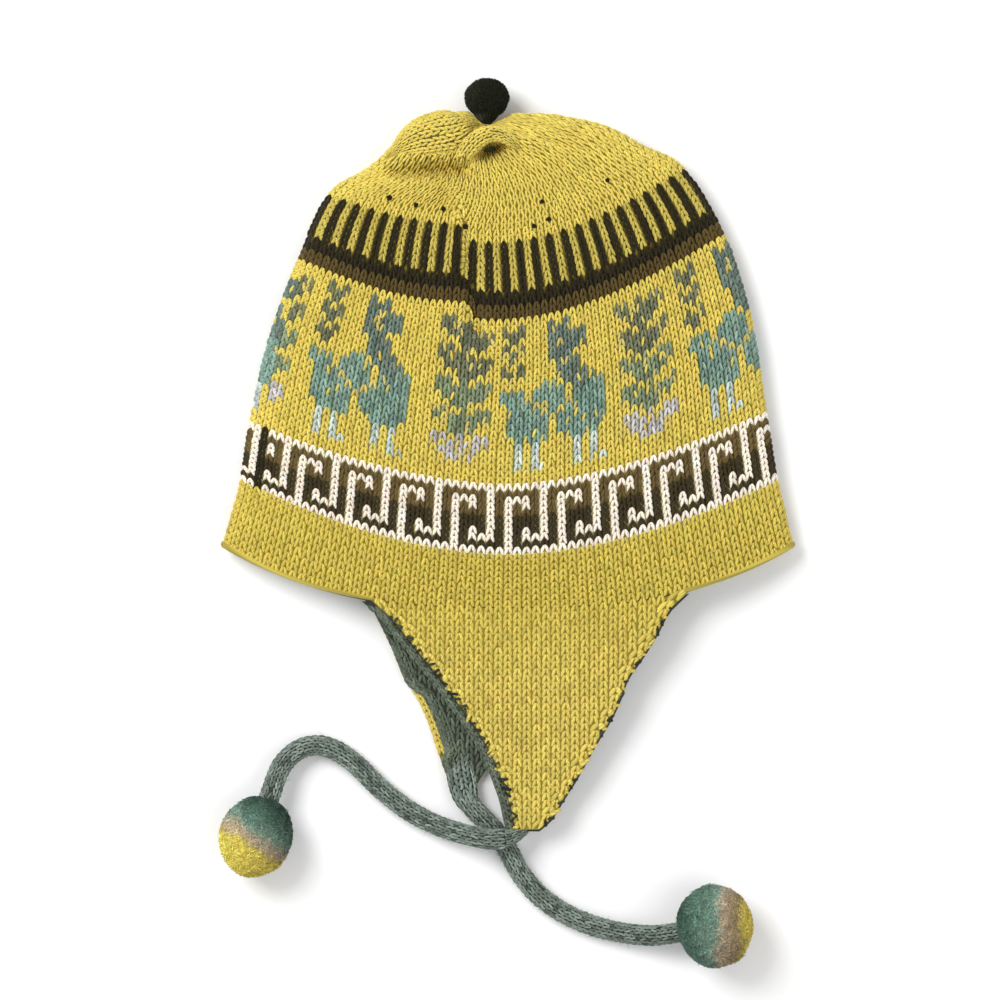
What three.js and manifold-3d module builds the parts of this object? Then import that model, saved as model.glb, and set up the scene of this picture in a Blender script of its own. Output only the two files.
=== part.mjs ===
// A knitted hat with ear flaps and pompom ties, lying flat on its side on a table.
// Millimetres. +Z is up from the table, +Y points from the ear flaps to the gathered crown,
// and +X points to the wearer's front. The origin is on the table, under the middle of the hat.
import * as THREE from 'three';
import { mergeVertices } from 'three/addons/utils/BufferGeometryUtils.js';
import Module from 'manifold-3d';

const wasm = await Module();
wasm.setup();

// Driving sizes of the hat
const RIM_WIDTH = 270; // across the rim's two corners as it lies
const CROWN_LENGTH = 230; // from the middle of the rim to the gather, along the cloth
const LOFT = 36; // highest point of the hat above the table
const FOLD_HEIGHT = 8; // height of the middle of the side folds
const KNIT_WALL = 2.4; // outer knitting
const LINING_WALL = 1.8; // grey inner knitting
const LAYER_GAP = 0.5; // between outer knitting and lining
const JOIN_GAP = 0.3; // between pieces that meet edge to edge
const LINING_SHOW = 1.1; // how far the lining stands out below the rim

// Driving sizes of the ear flaps
const UPPER_FLAP_LENGTH = 105; // of the flap that lies on top
const LOWER_FLAP_LENGTH = 84; // of the one beneath, from the rim to its tie
const UPPER_TIP_HEIGHT = 16.2; // top of the upper flap's tip, which lies over the other tie
const FLAP_DROOP = 2.2; // how much the upper flap's sides hang below its middle
const BORDER_BACK = 4.4; // lining that shows past the upper flap's back edge
const BORDER_FRONT = 1; // and past its front edge and tip
const CURL_SHOW = 3.6; // outer knitting that shows past the lower flap's back edge

// Driving sizes of the ties and pompoms
const TIE_DIAMETER = 10.4;
const TIE_SIDES = 8;
const TIE_STEP = 7.5; // length of one straight step of a tie's tube
const UPPER_POMPOM = { across: 34.4, along: 39 }; // sizes across its tie and along it
const LOWER_POMPOM = { across: 39.6, along: 35.6 };
const POMPOM_DIMPLE = 4; // depth of the hollow that the tie runs into
const TOP_POMPOM_DIAMETER = 20.6;
const TOP_POMPOM_LENGTH = 18.4; // of the ball, without its neck
const TOP_POMPOM_NECK = 2.4; // from the gather to where the ball starts
const TOP_POMPOM_ROOT = 2; // diameter of the neck at the gather
const ROUND_SIDES = 14;

// How finely the cloth is faceted
const OVER_POINTS = 30; // points over the top of a section
const UNDER_POINTS = 14; // and under it
const FLAP_ACROSS = 10;
const FLAP_DOWN = 10;

const HALF_WIDTH = RIM_WIDTH / 2;

// Plan of the rows of knitting from rim to gather. x is a share of half the rim's width and y of the
// crown's length. back and front are the two side folds.
const PLAN = [
  { course: 0.0, midX: 0.0, midY: 0.0, backX: -1.0, backY: 0.122, frontX: 1.0, frontY: 0.122 },
  { course: 0.055, midX: 0.0, midY: 0.053, backX: -0.974, backY: 0.178, frontX: 0.974, frontY: 0.185 },
  { course: 0.11, midX: 0.0, midY: 0.106, backX: -0.943, backY: 0.241, frontX: 0.944, frontY: 0.261 },
  { course: 0.264, midX: 0.0, midY: 0.248, backX: -0.911, backY: 0.357, frontX: 0.904, frontY: 0.402 },
  { course: 0.43, midX: -0.007, midY: 0.409, backX: -0.844, backY: 0.535, frontX: 0.856, frontY: 0.578 },
  { course: 0.61, midX: -0.022, midY: 0.583, backX: -0.737, backY: 0.709, frontX: 0.759, frontY: 0.763 },
  { course: 0.78, midX: -0.037, midY: 0.757, backX: -0.618, backY: 0.854, frontX: 0.605, frontY: 0.909 },
  { course: 0.85, midX: -0.052, midY: 0.822, backX: -0.474, backY: 0.909, frontX: 0.474, frontY: 0.948 },
  { course: 0.905, midX: -0.067, midY: 0.874, backX: -0.363, backY: 0.972, frontX: 0.341, frontY: 0.989 },
  { course: 0.958, midX: -0.074, midY: 0.922, backX: -0.244, backY: 1.011, frontX: 0.163, frontY: 1.011 },
  { course: 0.986, midX: -0.074, midY: 0.957, backX: -0.148, backY: 1.02, frontX: 0.03, frontY: 1.015 },
];

// Sections of the same rows: heights as shares of the loft, fold as a share of the fold's own height,
// and bend, the power with which the row curves up to its folds
const SECTIONS = [
  { course: 0.0, bend: 2.8, top: 0.72, bottom: 0, fold: 1.0 },
  { course: 0.055, bend: 2.2, top: 0.79, bottom: 0, fold: 1.0 },
  { course: 0.11, bend: 1.8, top: 0.85, bottom: 0, fold: 1.0 },
  { course: 0.264, bend: 1.65, top: 0.92, bottom: 0, fold: 1.0 },
  { course: 0.43, bend: 1.65, top: 0.97, bottom: 0, fold: 1.0 },
  { course: 0.61, bend: 1.7, top: 1.0, bottom: 0, fold: 1.0 },
  { course: 0.78, bend: 1.7, top: 0.96, bottom: 0.01, fold: 1.15 },
  { course: 0.85, bend: 1.7, top: 0.92, bottom: 0.03, fold: 1.25 },
  { course: 0.905, bend: 1.7, top: 0.85, bottom: 0.08, fold: 1.4 },
  { course: 0.958, bend: 1.7, top: 0.72, bottom: 0.19, fold: 1.6 },
  { course: 0.986, bend: 1.7, top: 0.56, bottom: 0.29, fold: 1.7 },
];
const GATHER = { x: -0.074, y: 0.99, z: 0.4 }; // where all rows meet, in the same shares

// Courses at which the solid has a ring of points, closer where the crown gathers
const RINGS = [
  0, 0.06, 0.13, 0.21, 0.3, 0.4, 0.5, 0.59, 0.66, 0.72, 0.77, 0.815, 0.855, 0.89, 0.92, 0.95, 0.975, 0.99,
];

// Folds and dents of the top layer: ridges (height above 0) and creases (below 0) along a line.
// x is a share of half the rim's width, y of the crown's length, spread of the crown's length
// and height of the loft.
const FOLDS = [
  { name: 'back lobe', x1: -0.4, y1: 0.935, x2: -0.19, y2: 0.975, spread: 0.032, height: 0.26 },
  { name: 'crease under the lobe', x1: -0.44, y1: 0.885, x2: -0.15, y2: 0.893, spread: 0.016, height: -0.17 },
  { name: 'twist by the gather', x1: -0.165, y1: 0.905, x2: -0.105, y2: 0.962, spread: 0.014, height: 0.14 },
  { name: 'hollow in the gather', x1: -0.085, y1: 0.93, x2: -0.045, y2: 0.937, spread: 0.016, height: -0.3 },
  { name: 'front lobe', x1: -0.05, y1: 0.972, x2: 0.1, y2: 0.95, spread: 0.02, height: 0.12 },
  { name: 'upper tuck', x1: -0.24, y1: 0.83, x2: -0.14, y2: 0.7, spread: 0.018, height: -0.1 },
  { name: 'tuck across the stripes', x1: -0.14, y1: 0.7, x2: -0.105, y2: 0.54, spread: 0.02, height: -0.16 },
  { name: 'end of the tuck', x1: -0.1, y1: 0.54, x2: -0.03, y2: 0.42, spread: 0.024, height: -0.07 },
  { name: 'swell behind the tuck', x1: -0.24, y1: 0.72, x2: -0.2, y2: 0.55, spread: 0.04, height: 0.07 },
];

// Outline of the upper flap: x of its edges as shares of half the rim's width, at shares of its length
const UPPER_FLAP = [
  { down: 0, back: -0.478, front: 0.63 },
  { down: 0.0577, back: -0.415, front: 0.564 },
  { down: 0.1472, back: -0.352, front: 0.519 },
  { down: 0.2376, back: -0.293, front: 0.47 },
  { down: 0.327, back: -0.232, front: 0.418 },
  { down: 0.4165, back: -0.183, front: 0.392 },
  { down: 0.506, back: -0.133, front: 0.358 },
  { down: 0.5954, back: -0.088, front: 0.315 },
  { down: 0.6849, back: -0.05, front: 0.276 },
  { down: 0.7743, back: -0.022, front: 0.237 },
  { down: 0.8638, back: 0.002, front: 0.193 },
  { down: 0.953, back: 0.017, front: 0.15 },
  { down: 1.0, back: 0.028, front: 0.108 },
];

// Outline of the lower flap, in the same way
const LOWER_FLAP = [
  { down: 0.0, back: -0.485, front: 0.58 },
  { down: 0.073, back: -0.463, front: 0.53 },
  { down: 0.185, back: -0.424, front: 0.44 },
  { down: 0.296, back: -0.393, front: 0.36 },
  { down: 0.408, back: -0.364, front: 0.28 },
  { down: 0.52, back: -0.318, front: 0.19 },
  { down: 0.632, back: -0.285, front: 0.1 },
  { down: 0.744, back: -0.261, front: 0.02 },
  { down: 0.856, back: -0.238, front: -0.05 },
  { down: 1.0, back: -0.205, front: -0.108 },
];

// Routes of the two ties, from the flap's tip to the pompom, measured from the middle of the rim.
const UPPER_TIE_ROUTE = [
  [-1.4, -109.2, 16.3], [-6.4, -109.6, 16.4], [-12, -109, 15.2], [-21, -107.2, 11.2], [-30.5, -104.6, 7.1],
  [-38.5, -101.2, 5.4], [-46.4, -96.9, 5.3], [-54, -91.4, 5.3], [-60.8, -85.8, 5.3], [-67, -79.6, 5.3],
  [-73.4, -73.4, 5.3], [-80.2, -68.8, 5.3], [-87.6, -66, 5.4], [-95, -66.2, 6.2], [-102, -69.8, 7.8],
  [-107, -75.6, 9.7], [-109.8, -82, 11.6], [-111.8, -88.2, 13.3], [-113.6, -93.4, 14.4],
];
const LOWER_TIE_ROUTE = [
  [-21, -86.2, 5.3], [-20, -90, 5.3], [-17.4, -94.4, 5.3], [-12.6, -99.4, 5.3], [-6.8, -105.6, 5.3],
  [-1.8, -112.4, 5.3], [2, -119.4, 5.3], [6.4, -127, 5.3], [11.8, -133.8, 5.3], [18.4, -139.8, 5.3],
  [26, -144.8, 5.3], [34.4, -148.8, 5.3], [43, -151.8, 5.3], [52, -154, 5.7], [61, -155.2, 7],
  [69.8, -155.2, 10.4], [78, -153.8, 14.2], [84, -152.6, 16.2],
];

// Smooth reading of a table's column between its rows, with slopes taken from the neighbours.
function readColumn(table, key, name, at) {
  const last = table.length - 1;
  const slope = (i) => {
    const low = table[Math.max(0, i - 1)];
    const high = table[Math.min(last, i + 1)];
    return (high[name] - low[name]) / (high[key] - low[key]);
  };
  let i = 0;
  while (i < last - 1 && at > table[i + 1][key]) i += 1;
  const span = table[i + 1][key] - table[i][key];
  const t = Math.min(1, Math.max(0, (at - table[i][key]) / span));
  const before = table[i][name] * (1 + 2 * t) * (1 - t) ** 2 + slope(i) * span * t * (1 - t) ** 2;
  const after = table[i + 1][name] * (3 - 2 * t) * t ** 2 - slope(i + 1) * span * (1 - t) * t ** 2;
  return before + after;
}

const easeInOut = (t) => t * t * (3 - 2 * t);
const blend = (a, b, t) => a + (b - a) * t;

// What is left of a half size once a wall of that depth is taken off, never less than nothing.
const insetHalf = (size, depth) => (depth > 0 ? size - depth * Math.tanh(size / depth) : size);

// Height that the folds add to the top layer over a point of the plan.
function foldHeight(x, y) {
  let total = 0;
  for (const fold of FOLDS) {
    const ax = fold.x1 * HALF_WIDTH;
    const ay = fold.y1 * CROWN_LENGTH;
    const dx = fold.x2 * HALF_WIDTH - ax;
    const dy = fold.y2 * CROWN_LENGTH - ay;
    const along = Math.min(1, Math.max(0, ((x - ax) * dx + (y - ay) * dy) / (dx * dx + dy * dy)));
    const away = Math.hypot(x - ax - along * dx, y - ay - along * dy) / (fold.spread * CROWN_LENGTH);
    total += fold.height * LOFT * Math.exp(-away * away);
  }
  return total;
}

// A point of the hat's cloth, at a course from rim (0) to gather (1). turn is the angle round the
// section: 0 at the front fold, a quarter turn over the top, a half turn at the back fold.
// depth is how far the point lies inside the outer face.
const TOP_SQUARENESS = 2.5; // 2 would make the section's top an ellipse
const UNDER_SQUARENESS = 4;
const UNDER_PRESS = 1.05; // above 1, the middle of the underside is pressed flat by the table
const GATHER_START = 0.5; // course from which the crown closes in
function clothPoint(course, turn, depth) {
  const plan = (name) => readColumn(PLAN, 'course', name, course);
  const section = (name) => readColumn(SECTIONS, 'course', name, course);
  const across = Math.cos(turn);
  const midX = plan('midX') * HALF_WIDTH;
  const midY = plan('midY') * CROWN_LENGTH;
  const halfX = Math.abs((across > 0 ? plan('frontX') : plan('backX')) * HALF_WIDTH - midX);
  const edgeY = (across > 0 ? plan('frontY') : plan('backY')) * CROWN_LENGTH;
  const closing = Math.max(0, (course - GATHER_START) / (1 - GATHER_START));
  const faceX = midX + across * halfX;
  const faceY = midY + (edgeY - midY) * Math.abs(across) ** section('bend');
  const x = midX + across * insetHalf(halfX, depth);
  const y = faceY - depth * closing;
  const fold = section('fold') * FOLD_HEIGHT;
  if (Math.sin(turn) >= 0) {
    const rise = Math.sqrt(Math.max(0, 1 - Math.abs(across) ** TOP_SQUARENESS));
    const height = insetHalf(section('top') * LOFT - fold, depth) * rise;
    return [x, y, fold + height + foldHeight(faceX, faceY) * easeInOut(rise)];
  }
  const bulge = Math.sqrt(Math.max(0, 1 - Math.abs(across) ** UNDER_SQUARENESS));
  const clear = Math.max(0, section('bottom')) * LOFT;
  return [x, y, fold - insetHalf(fold - clear, depth) * Math.min(1, UNDER_PRESS * bulge)];
}

// The point in which a layer of the cloth closes at the gather.
function gatherPoint(depth) {
  return [GATHER.x * HALF_WIDTH, GATHER.y * CROWN_LENGTH - depth, GATHER.z * LOFT];
}

// A geometry from points and triangles, turned the right way out if its volume is negative.
function solidFrom(points, triangles) {
  const volume = triangles.reduce((sum, [a, b, c]) => {
    const [p, q, r] = [points[a], points[b], points[c]].map((v) => new THREE.Vector3(...v));
    return sum + p.dot(q.cross(r)) / 6;
  }, 0);
  const index = volume < 0 ? triangles.map(([a, b, c]) => [a, c, b]) : triangles;
  const geometry = new THREE.BufferGeometry();
  geometry.setAttribute('position', new THREE.Float32BufferAttribute(points.flat(), 3));
  geometry.setIndex(index.flat());
  geometry.computeVertexNormals();
  return geometry;
}

// Turns at which each ring has a point: closer over the top, where the folds are
const TURNS = [
  ...Array.from({ length: OVER_POINTS }, (_, k) => (Math.PI * k) / OVER_POINTS),
  ...Array.from({ length: UNDER_POINTS }, (_, k) => Math.PI * (1 + k / UNDER_POINTS)),
];

// A hollow cap of cloth between two depths, open at the rim and closed at the gather.
// overhang moves its rim ring out beyond the rim.
function capGeometry(outerDepth, innerDepth, overhang) {
  const points = [];
  const triangles = [];
  const ringOf = (depth) => RINGS.map((course, level) => TURNS.map((turn) => {
    const [x, y, z] = clothPoint(course, turn, depth);
    return points.push([x, level === 0 ? y - overhang : y, z]) - 1;
  }));
  const close = (rings, depth, flip) => {
    const face = (a, b, c) => triangles.push(flip ? [a, c, b] : [a, b, c]);
    const tip = points.push(gatherPoint(depth)) - 1;
    for (let k = 0; k < TURNS.length; k += 1) {
      const next = (k + 1) % TURNS.length;
      for (let level = 0; level < rings.length - 1; level += 1) {
        const [low, high] = [rings[level], rings[level + 1]];
        face(low[k], high[k], high[next]);
        face(low[k], high[next], low[next]);
      }
      const top = rings[rings.length - 1];
      face(top[k], tip, top[next]);
    }
  };
  const outer = ringOf(outerDepth);
  const inner = ringOf(innerDepth);
  close(outer, outerDepth, false);
  close(inner, innerDepth, true);
  for (let k = 0; k < TURNS.length; k += 1) {
    const next = (k + 1) % TURNS.length;
    triangles.push([inner[0][k], outer[0][k], inner[0][next]]);
    triangles.push([outer[0][k], outer[0][next], inner[0][next]]);
  }
  return solidFrom(points, triangles);
}

// A closed plate of cloth: faceAt(across, down) gives its upper and lower face, each as [x, y, z].
function plateGeometry(faceAt) {
  const points = [];
  const triangles = [];
  const grids = [0, 1].map((side) => {
    const grid = [];
    for (let j = 0; j <= FLAP_DOWN; j += 1) {
      const row = [];
      for (let i = 0; i <= FLAP_ACROSS; i += 1) {
        row.push(points.push(faceAt(i / FLAP_ACROSS, j / FLAP_DOWN)[side]) - 1);
      }
      grid.push(row);
    }
    return grid;
  });
  const quad = (a, b, c, d) => triangles.push([a, b, c], [a, c, d]);
  const [up, low] = grids;
  for (let j = 0; j < FLAP_DOWN; j += 1) {
    for (let i = 0; i < FLAP_ACROSS; i += 1) {
      quad(up[j][i], up[j + 1][i], up[j + 1][i + 1], up[j][i + 1]);
      quad(low[j][i], low[j][i + 1], low[j + 1][i + 1], low[j + 1][i]);
    }
    quad(up[j][0], low[j][0], low[j + 1][0], up[j + 1][0]);
    quad(up[j][FLAP_ACROSS], up[j + 1][FLAP_ACROSS], low[j + 1][FLAP_ACROSS], low[j][FLAP_ACROSS]);
  }
  for (let i = 0; i < FLAP_ACROSS; i += 1) {
    quad(up[0][i], up[0][i + 1], low[0][i + 1], low[0][i]);
    quad(up[FLAP_DOWN][i], low[FLAP_DOWN][i], low[FLAP_DOWN][i + 1], up[FLAP_DOWN][i + 1]);
  }
  return solidFrom(points, triangles);
}

// The rim's edge over or under a place across it, at a depth in the cloth.
function rimPoint(x, over, depth) {
  const turn = Math.acos(x / HALF_WIDTH);
  return clothPoint(0, over ? turn : -turn, depth);
}

// A point of a flap in plan: across its rows, and down from the rim to its tip.
function flapPlan(outline, length, across, down, layer) {
  const edge = (name) => readColumn(outline, 'down', name, down) * HALF_WIDTH;
  const x = blend(edge('back') - layer.border.back, edge('front') + layer.border.front, across);
  const arc = rimPoint(x, true, 0)[1] * (1 - down) ** 2; // rows straighten towards the tip
  return [x, arc - layer.startGap - (length + layer.border.tip - layer.startGap) * down];
}

// The upper flap comes down from the top rim to lie over the other flap's tie.
function upperFlapPoint(across, down, layer) {
  const [x, y] = flapPlan(UPPER_FLAP, UPPER_FLAP_LENGTH, across, down, layer);
  const start = rimPoint(x, true, layer.depth)[2];
  const droop = FLAP_DROOP * (2 * across - 1) ** 2 * easeInOut(Math.min(1, down * 3));
  const rest = UPPER_TIP_HEIGHT - layer.depth;
  return [x, y, blend(start, rest, easeInOut(down)) - droop * (1 - down)];
}

function upperFlap(layer) {
  return plateGeometry((across, down) => {
    const upper = upperFlapPoint(across, down, layer);
    const under = upperFlapPoint(across, down, { ...layer, depth: layer.depth + layer.wall });
    return [upper, [upper[0], upper[1], under[2]]];
  });
}

// The lower flap lies on the table, outer knitting down and lining up.
function lowerFlap(layer) {
  return plateGeometry((across, down) => {
    const [x, y] = flapPlan(LOWER_FLAP, LOWER_FLAP_LENGTH, across, down, layer);
    const start = rimPoint(x, false, layer.depth)[2];
    const low = blend(start, layer.depth, easeInOut(Math.min(1, down * 4)));
    return [[x, y, low + layer.wall], [x, y, low]];
  });
}

// A tie's tube along its curve, with a flat face at each end.
function tieGeometry(curve) {
  const radius = TIE_DIAMETER / 2;
  const section = new THREE.Shape();
  for (let k = 0; k < TIE_SIDES; k += 1) {
    const angle = (2 * Math.PI * (k + 0.5)) / TIE_SIDES;
    const [x, y] = [radius * Math.cos(angle), radius * Math.sin(angle)];
    if (k === 0) section.moveTo(x, y);
    else section.lineTo(x, y);
  }
  section.closePath();
  const steps = Math.round(curve.getLength() / TIE_STEP);
  return new THREE.ExtrudeGeometry(section, { steps, bevelEnabled: false, extrudePath: curve });
}

// A geometry as one closed body for joining, and the joined body as a geometry again.
function toBody(geometry) {
  const bare = geometry.clone();
  bare.deleteAttribute('uv');
  bare.deleteAttribute('normal');
  const merged = mergeVertices(bare, 1e-4);
  const vertProperties = new Float32Array(merged.attributes.position.array);
  const triVerts = new Uint32Array(merged.index.array);
  return new wasm.Manifold(new wasm.Mesh({ numProp: 3, vertProperties, triVerts }));
}

function toGeometry(body) {
  const mesh = body.getMesh();
  const geometry = new THREE.BufferGeometry();
  geometry.setAttribute('position', new THREE.BufferAttribute(mesh.vertProperties, 3));
  geometry.setIndex(new THREE.BufferAttribute(mesh.triVerts, 1));
  geometry.computeVertexNormals();
  return geometry;
}

// Joins short blunt locks of yarn to a core. The core is round about Y, and centre is its middle.
// radius and half are the outer form's half sizes across Y and along it.
const LOCK_SIDES = 5;
const LOCK_ROOT = 0.4; // share of the way out at which a lock starts, inside the core
const LOCK_TIP = 0.68; // a lock's tip radius as a share of its spacing
const GOLDEN_TURN = Math.PI * (3 - Math.sqrt(5)); // spaces the locks evenly over the ball
function addLocks(core, centre, radius, half, count, firstBand) {
  const spacing = radius * Math.sqrt(2 / count);
  let body = toBody(core);
  for (let i = firstBand; i < count; i += 1) {
    const level = (2 * i + 1) / count - 1; // from -1 at the tie to 1 at the far end
    const out = Math.sqrt(1 - level * level);
    const turn = i * GOLDEN_TURN;
    const tip = new THREE.Vector3(out * Math.cos(turn) * radius, level * half, out * Math.sin(turn) * radius);
    const length = tip.length() * (1 - LOCK_ROOT);
    const lock = new THREE.CylinderGeometry(LOCK_TIP * spacing, LOCK_ROOT * spacing, length, LOCK_SIDES);
    const heading = tip.clone().normalize();
    lock.applyQuaternion(new THREE.Quaternion().setFromUnitVectors(new THREE.Vector3(0, 1, 0), heading));
    const middle = tip.clone().sub(heading.multiplyScalar(length / 2));
    lock.translate(middle.x, middle.y + centre, middle.z);
    body = body.add(toBody(lock));
  }
  return toGeometry(body);
}

// A ball on a tie, about Y: a core with a dimple where the tie comes in, at y = 0, and its locks.
const CORE_SHARE = 0.93; // of the ball's outer size
const POMPOM_BANDS = 8;
const POMPOM_LOCKS = 22;
const LOCKS_MISSED = 3; // left out round the tie
const DIMPLE_SHARE = 0.42; // of the ball's radius
function pompomGeometry(size) {
  const radius = size.across / 2;
  const half = size.along / 2;
  const core = radius * CORE_SHARE;
  const profile = [];
  for (let i = 0; i <= POMPOM_BANDS; i += 1) {
    const angle = (Math.PI * i) / POMPOM_BANDS;
    const r = i % POMPOM_BANDS === 0 ? 0 : core * Math.sin(angle);
    const dimple = angle < Math.PI / 2 ? POMPOM_DIMPLE * Math.exp(-((r / (DIMPLE_SHARE * radius)) ** 4)) : 0;
    profile.push(new THREE.Vector2(r, half * (1 - CORE_SHARE * Math.cos(angle)) + dimple - POMPOM_DIMPLE));
  }
  const ball = new THREE.LatheGeometry(profile, ROUND_SIDES);
  return addLocks(ball, half - POMPOM_DIMPLE, radius, half, POMPOM_LOCKS, LOCKS_MISSED);
}

// The small ball at the gather, about Y: a neck that widens into a ball, standing on y = 0.
const TOP_BANDS = 6;
const TOP_LOCKS = 18;
const NECK_TURN = 0.26; // radians from the ball's pole at which the neck meets it
function topPompomGeometry() {
  const radius = TOP_POMPOM_DIAMETER / 2;
  const half = TOP_POMPOM_LENGTH / 2;
  const profile = [new THREE.Vector2(0, 0), new THREE.Vector2(TOP_POMPOM_ROOT / 2, 0)];
  const centre = TOP_POMPOM_NECK + half * Math.cos(NECK_TURN);
  for (let i = 0; i < TOP_BANDS; i += 1) {
    const angle = blend(NECK_TURN, Math.PI, i / TOP_BANDS);
    const r = radius * CORE_SHARE * Math.sin(angle);
    profile.push(new THREE.Vector2(r, centre - half * CORE_SHARE * Math.cos(angle)));
  }
  profile.push(new THREE.Vector2(0, centre + half * CORE_SHARE));
  const ball = new THREE.LatheGeometry(profile, ROUND_SIDES);
  return addLocks(ball, centre, radius, half, TOP_LOCKS, LOCKS_MISSED);
}

// Wool finishes
function woolMaterial(name, color, roughness) {
  return new THREE.MeshStandardMaterial({ name, color, roughness, metalness: 0 });
}
const knit = woolMaterial('yellow_knit', 0xc7b352, 0.92);
const lining = woolMaterial('grey_knit', 0x6b756c, 0.94);
const tie = woolMaterial('tie_knit', 0x727f76, 0.94);
const yarnBall = woolMaterial('pompom_yarn', 0x8d8f6c, 0.96);
const darkBall = woolMaterial('dark_yarn', 0x1e2012, 0.97);

const hat = new THREE.Group();

function addPiece(name, geometry, material) {
  const mesh = new THREE.Mesh(geometry, material);
  mesh.name = name;
  hat.add(mesh);
  return mesh;
}

// Crown and its lining
const liningDepth = KNIT_WALL + LAYER_GAP;
addPiece('crown', capGeometry(0, KNIT_WALL, 0), knit);
addPiece('crown_lining', capGeometry(liningDepth, liningDepth + LINING_WALL, LINING_SHOW), lining);

// Ear flaps, each of outer knitting and lining
const liningStart = LINING_SHOW + JOIN_GAP;
const plain = { back: 0, front: 0, tip: 0 };
const upperBorder = { back: BORDER_BACK, front: BORDER_FRONT, tip: BORDER_FRONT };
const upperKnit = { startGap: JOIN_GAP, border: plain, depth: 0, wall: KNIT_WALL };
const upperLining = { startGap: liningStart, border: upperBorder, depth: liningDepth, wall: LINING_WALL };
const lowerKnit = { startGap: JOIN_GAP, border: plain, depth: 0, wall: KNIT_WALL };
const lowerInset = { back: -CURL_SHOW, front: 0, tip: 0 };
const lowerLining = { startGap: liningStart, border: lowerInset, depth: liningDepth, wall: LINING_WALL };
addPiece('ear_flap_upper', upperFlap(upperKnit), knit);
addPiece('flap_lining_upper', upperFlap(upperLining), lining);
addPiece('ear_flap_lower', lowerFlap(lowerKnit), knit);
addPiece('flap_lining_lower', lowerFlap(lowerLining), lining);

// A tie with the ball at its end, which faces along the tie's last stretch
function addTieWithPompom(which, route, size) {
  const points = route.map((point) => new THREE.Vector3(...point));
  const curve = new THREE.CatmullRomCurve3(points, false, 'centripetal');
  addPiece(`tie_${which}`, tieGeometry(curve), tie);
  const heading = curve.getTangentAt(1);
  const ball = addPiece(`pompom_${which}`, pompomGeometry(size), yarnBall);
  ball.position.copy(curve.getPointAt(1).addScaledVector(heading, JOIN_GAP));
  ball.quaternion.setFromUnitVectors(new THREE.Vector3(0, 1, 0), heading);
}
addTieWithPompom('upper', UPPER_TIE_ROUTE, UPPER_POMPOM);
addTieWithPompom('lower', LOWER_TIE_ROUTE, LOWER_POMPOM);

// The small ball stands on the gather and points on over the table
const topPompom = addPiece('top_pompom', topPompomGeometry(), darkBall);
topPompom.position.set(...gatherPoint(-2 * JOIN_GAP));

// The origin goes on the table under the middle of the cloth and the top ball
const box = new THREE.Box3();
hat.children
  .filter((piece) => !/^(tie|pompom)_/.test(piece.name))
  .forEach((piece) => box.expandByObject(piece));
const middle = box.getCenter(new THREE.Vector3());
hat.position.set(-middle.x, -middle.y, -box.min.z);

export default hat;
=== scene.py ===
"""Visual model of a knitted chullo hat that lies flat on a table, seen from straight above."""

import logging
import math
from dataclasses import dataclass, field, replace
from enum import Enum

import bpy
import numpy as np
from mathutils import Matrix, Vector


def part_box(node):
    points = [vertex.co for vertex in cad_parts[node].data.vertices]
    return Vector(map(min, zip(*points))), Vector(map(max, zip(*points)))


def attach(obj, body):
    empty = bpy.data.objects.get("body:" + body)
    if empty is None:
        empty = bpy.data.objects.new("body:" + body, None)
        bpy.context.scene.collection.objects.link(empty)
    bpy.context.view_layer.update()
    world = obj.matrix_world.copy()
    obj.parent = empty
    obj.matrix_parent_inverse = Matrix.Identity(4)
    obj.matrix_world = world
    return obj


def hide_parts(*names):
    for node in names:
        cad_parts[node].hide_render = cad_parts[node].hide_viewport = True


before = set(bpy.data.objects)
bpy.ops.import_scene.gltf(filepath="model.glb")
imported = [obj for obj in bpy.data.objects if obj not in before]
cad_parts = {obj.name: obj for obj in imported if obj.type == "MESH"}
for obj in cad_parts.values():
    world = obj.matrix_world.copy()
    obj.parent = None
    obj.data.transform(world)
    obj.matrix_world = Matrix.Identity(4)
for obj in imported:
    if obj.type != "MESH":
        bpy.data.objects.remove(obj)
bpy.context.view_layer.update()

LOG = logging.getLogger("chullo")
SEED = 4127
MM = 0.001
UP = np.array([0.0, 0.0, 1.0])


def srgb(red: int, green: int, blue: int) -> tuple[float, float, float]:
    """Linear shares of a display colour that is given in steps of 255.

    Args:
        red, green, blue: the display colour.

    Returns:
        The three linear shares.
    """
    steps = np.array([red, green, blue]) / 255
    lifted = (steps + 0.055) / 1.055
    return tuple(float(v) for v in np.where(lifted > 0.0902, lifted**2.4, steps / 12.92))


def ease(share: np.ndarray) -> np.ndarray:
    """Smooth step from 0 to 1, level at both ends."""
    t = np.clip(share, 0, 1)
    return t * t * (3 - 2 * t)


def unit(vectors: np.ndarray) -> np.ndarray:
    """Vectors along the last axis, each scaled to length 1."""
    return vectors / np.maximum(np.linalg.norm(vectors, axis=-1, keepdims=True), 1e-12)


def arch(across: np.ndarray, power: float = 2.0) -> np.ndarray:
    """Height of a round top over its width: 1 in the middle, 0 at both sides."""
    return np.sqrt(np.clip(1 - np.abs(across) ** power, 0, None))


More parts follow.
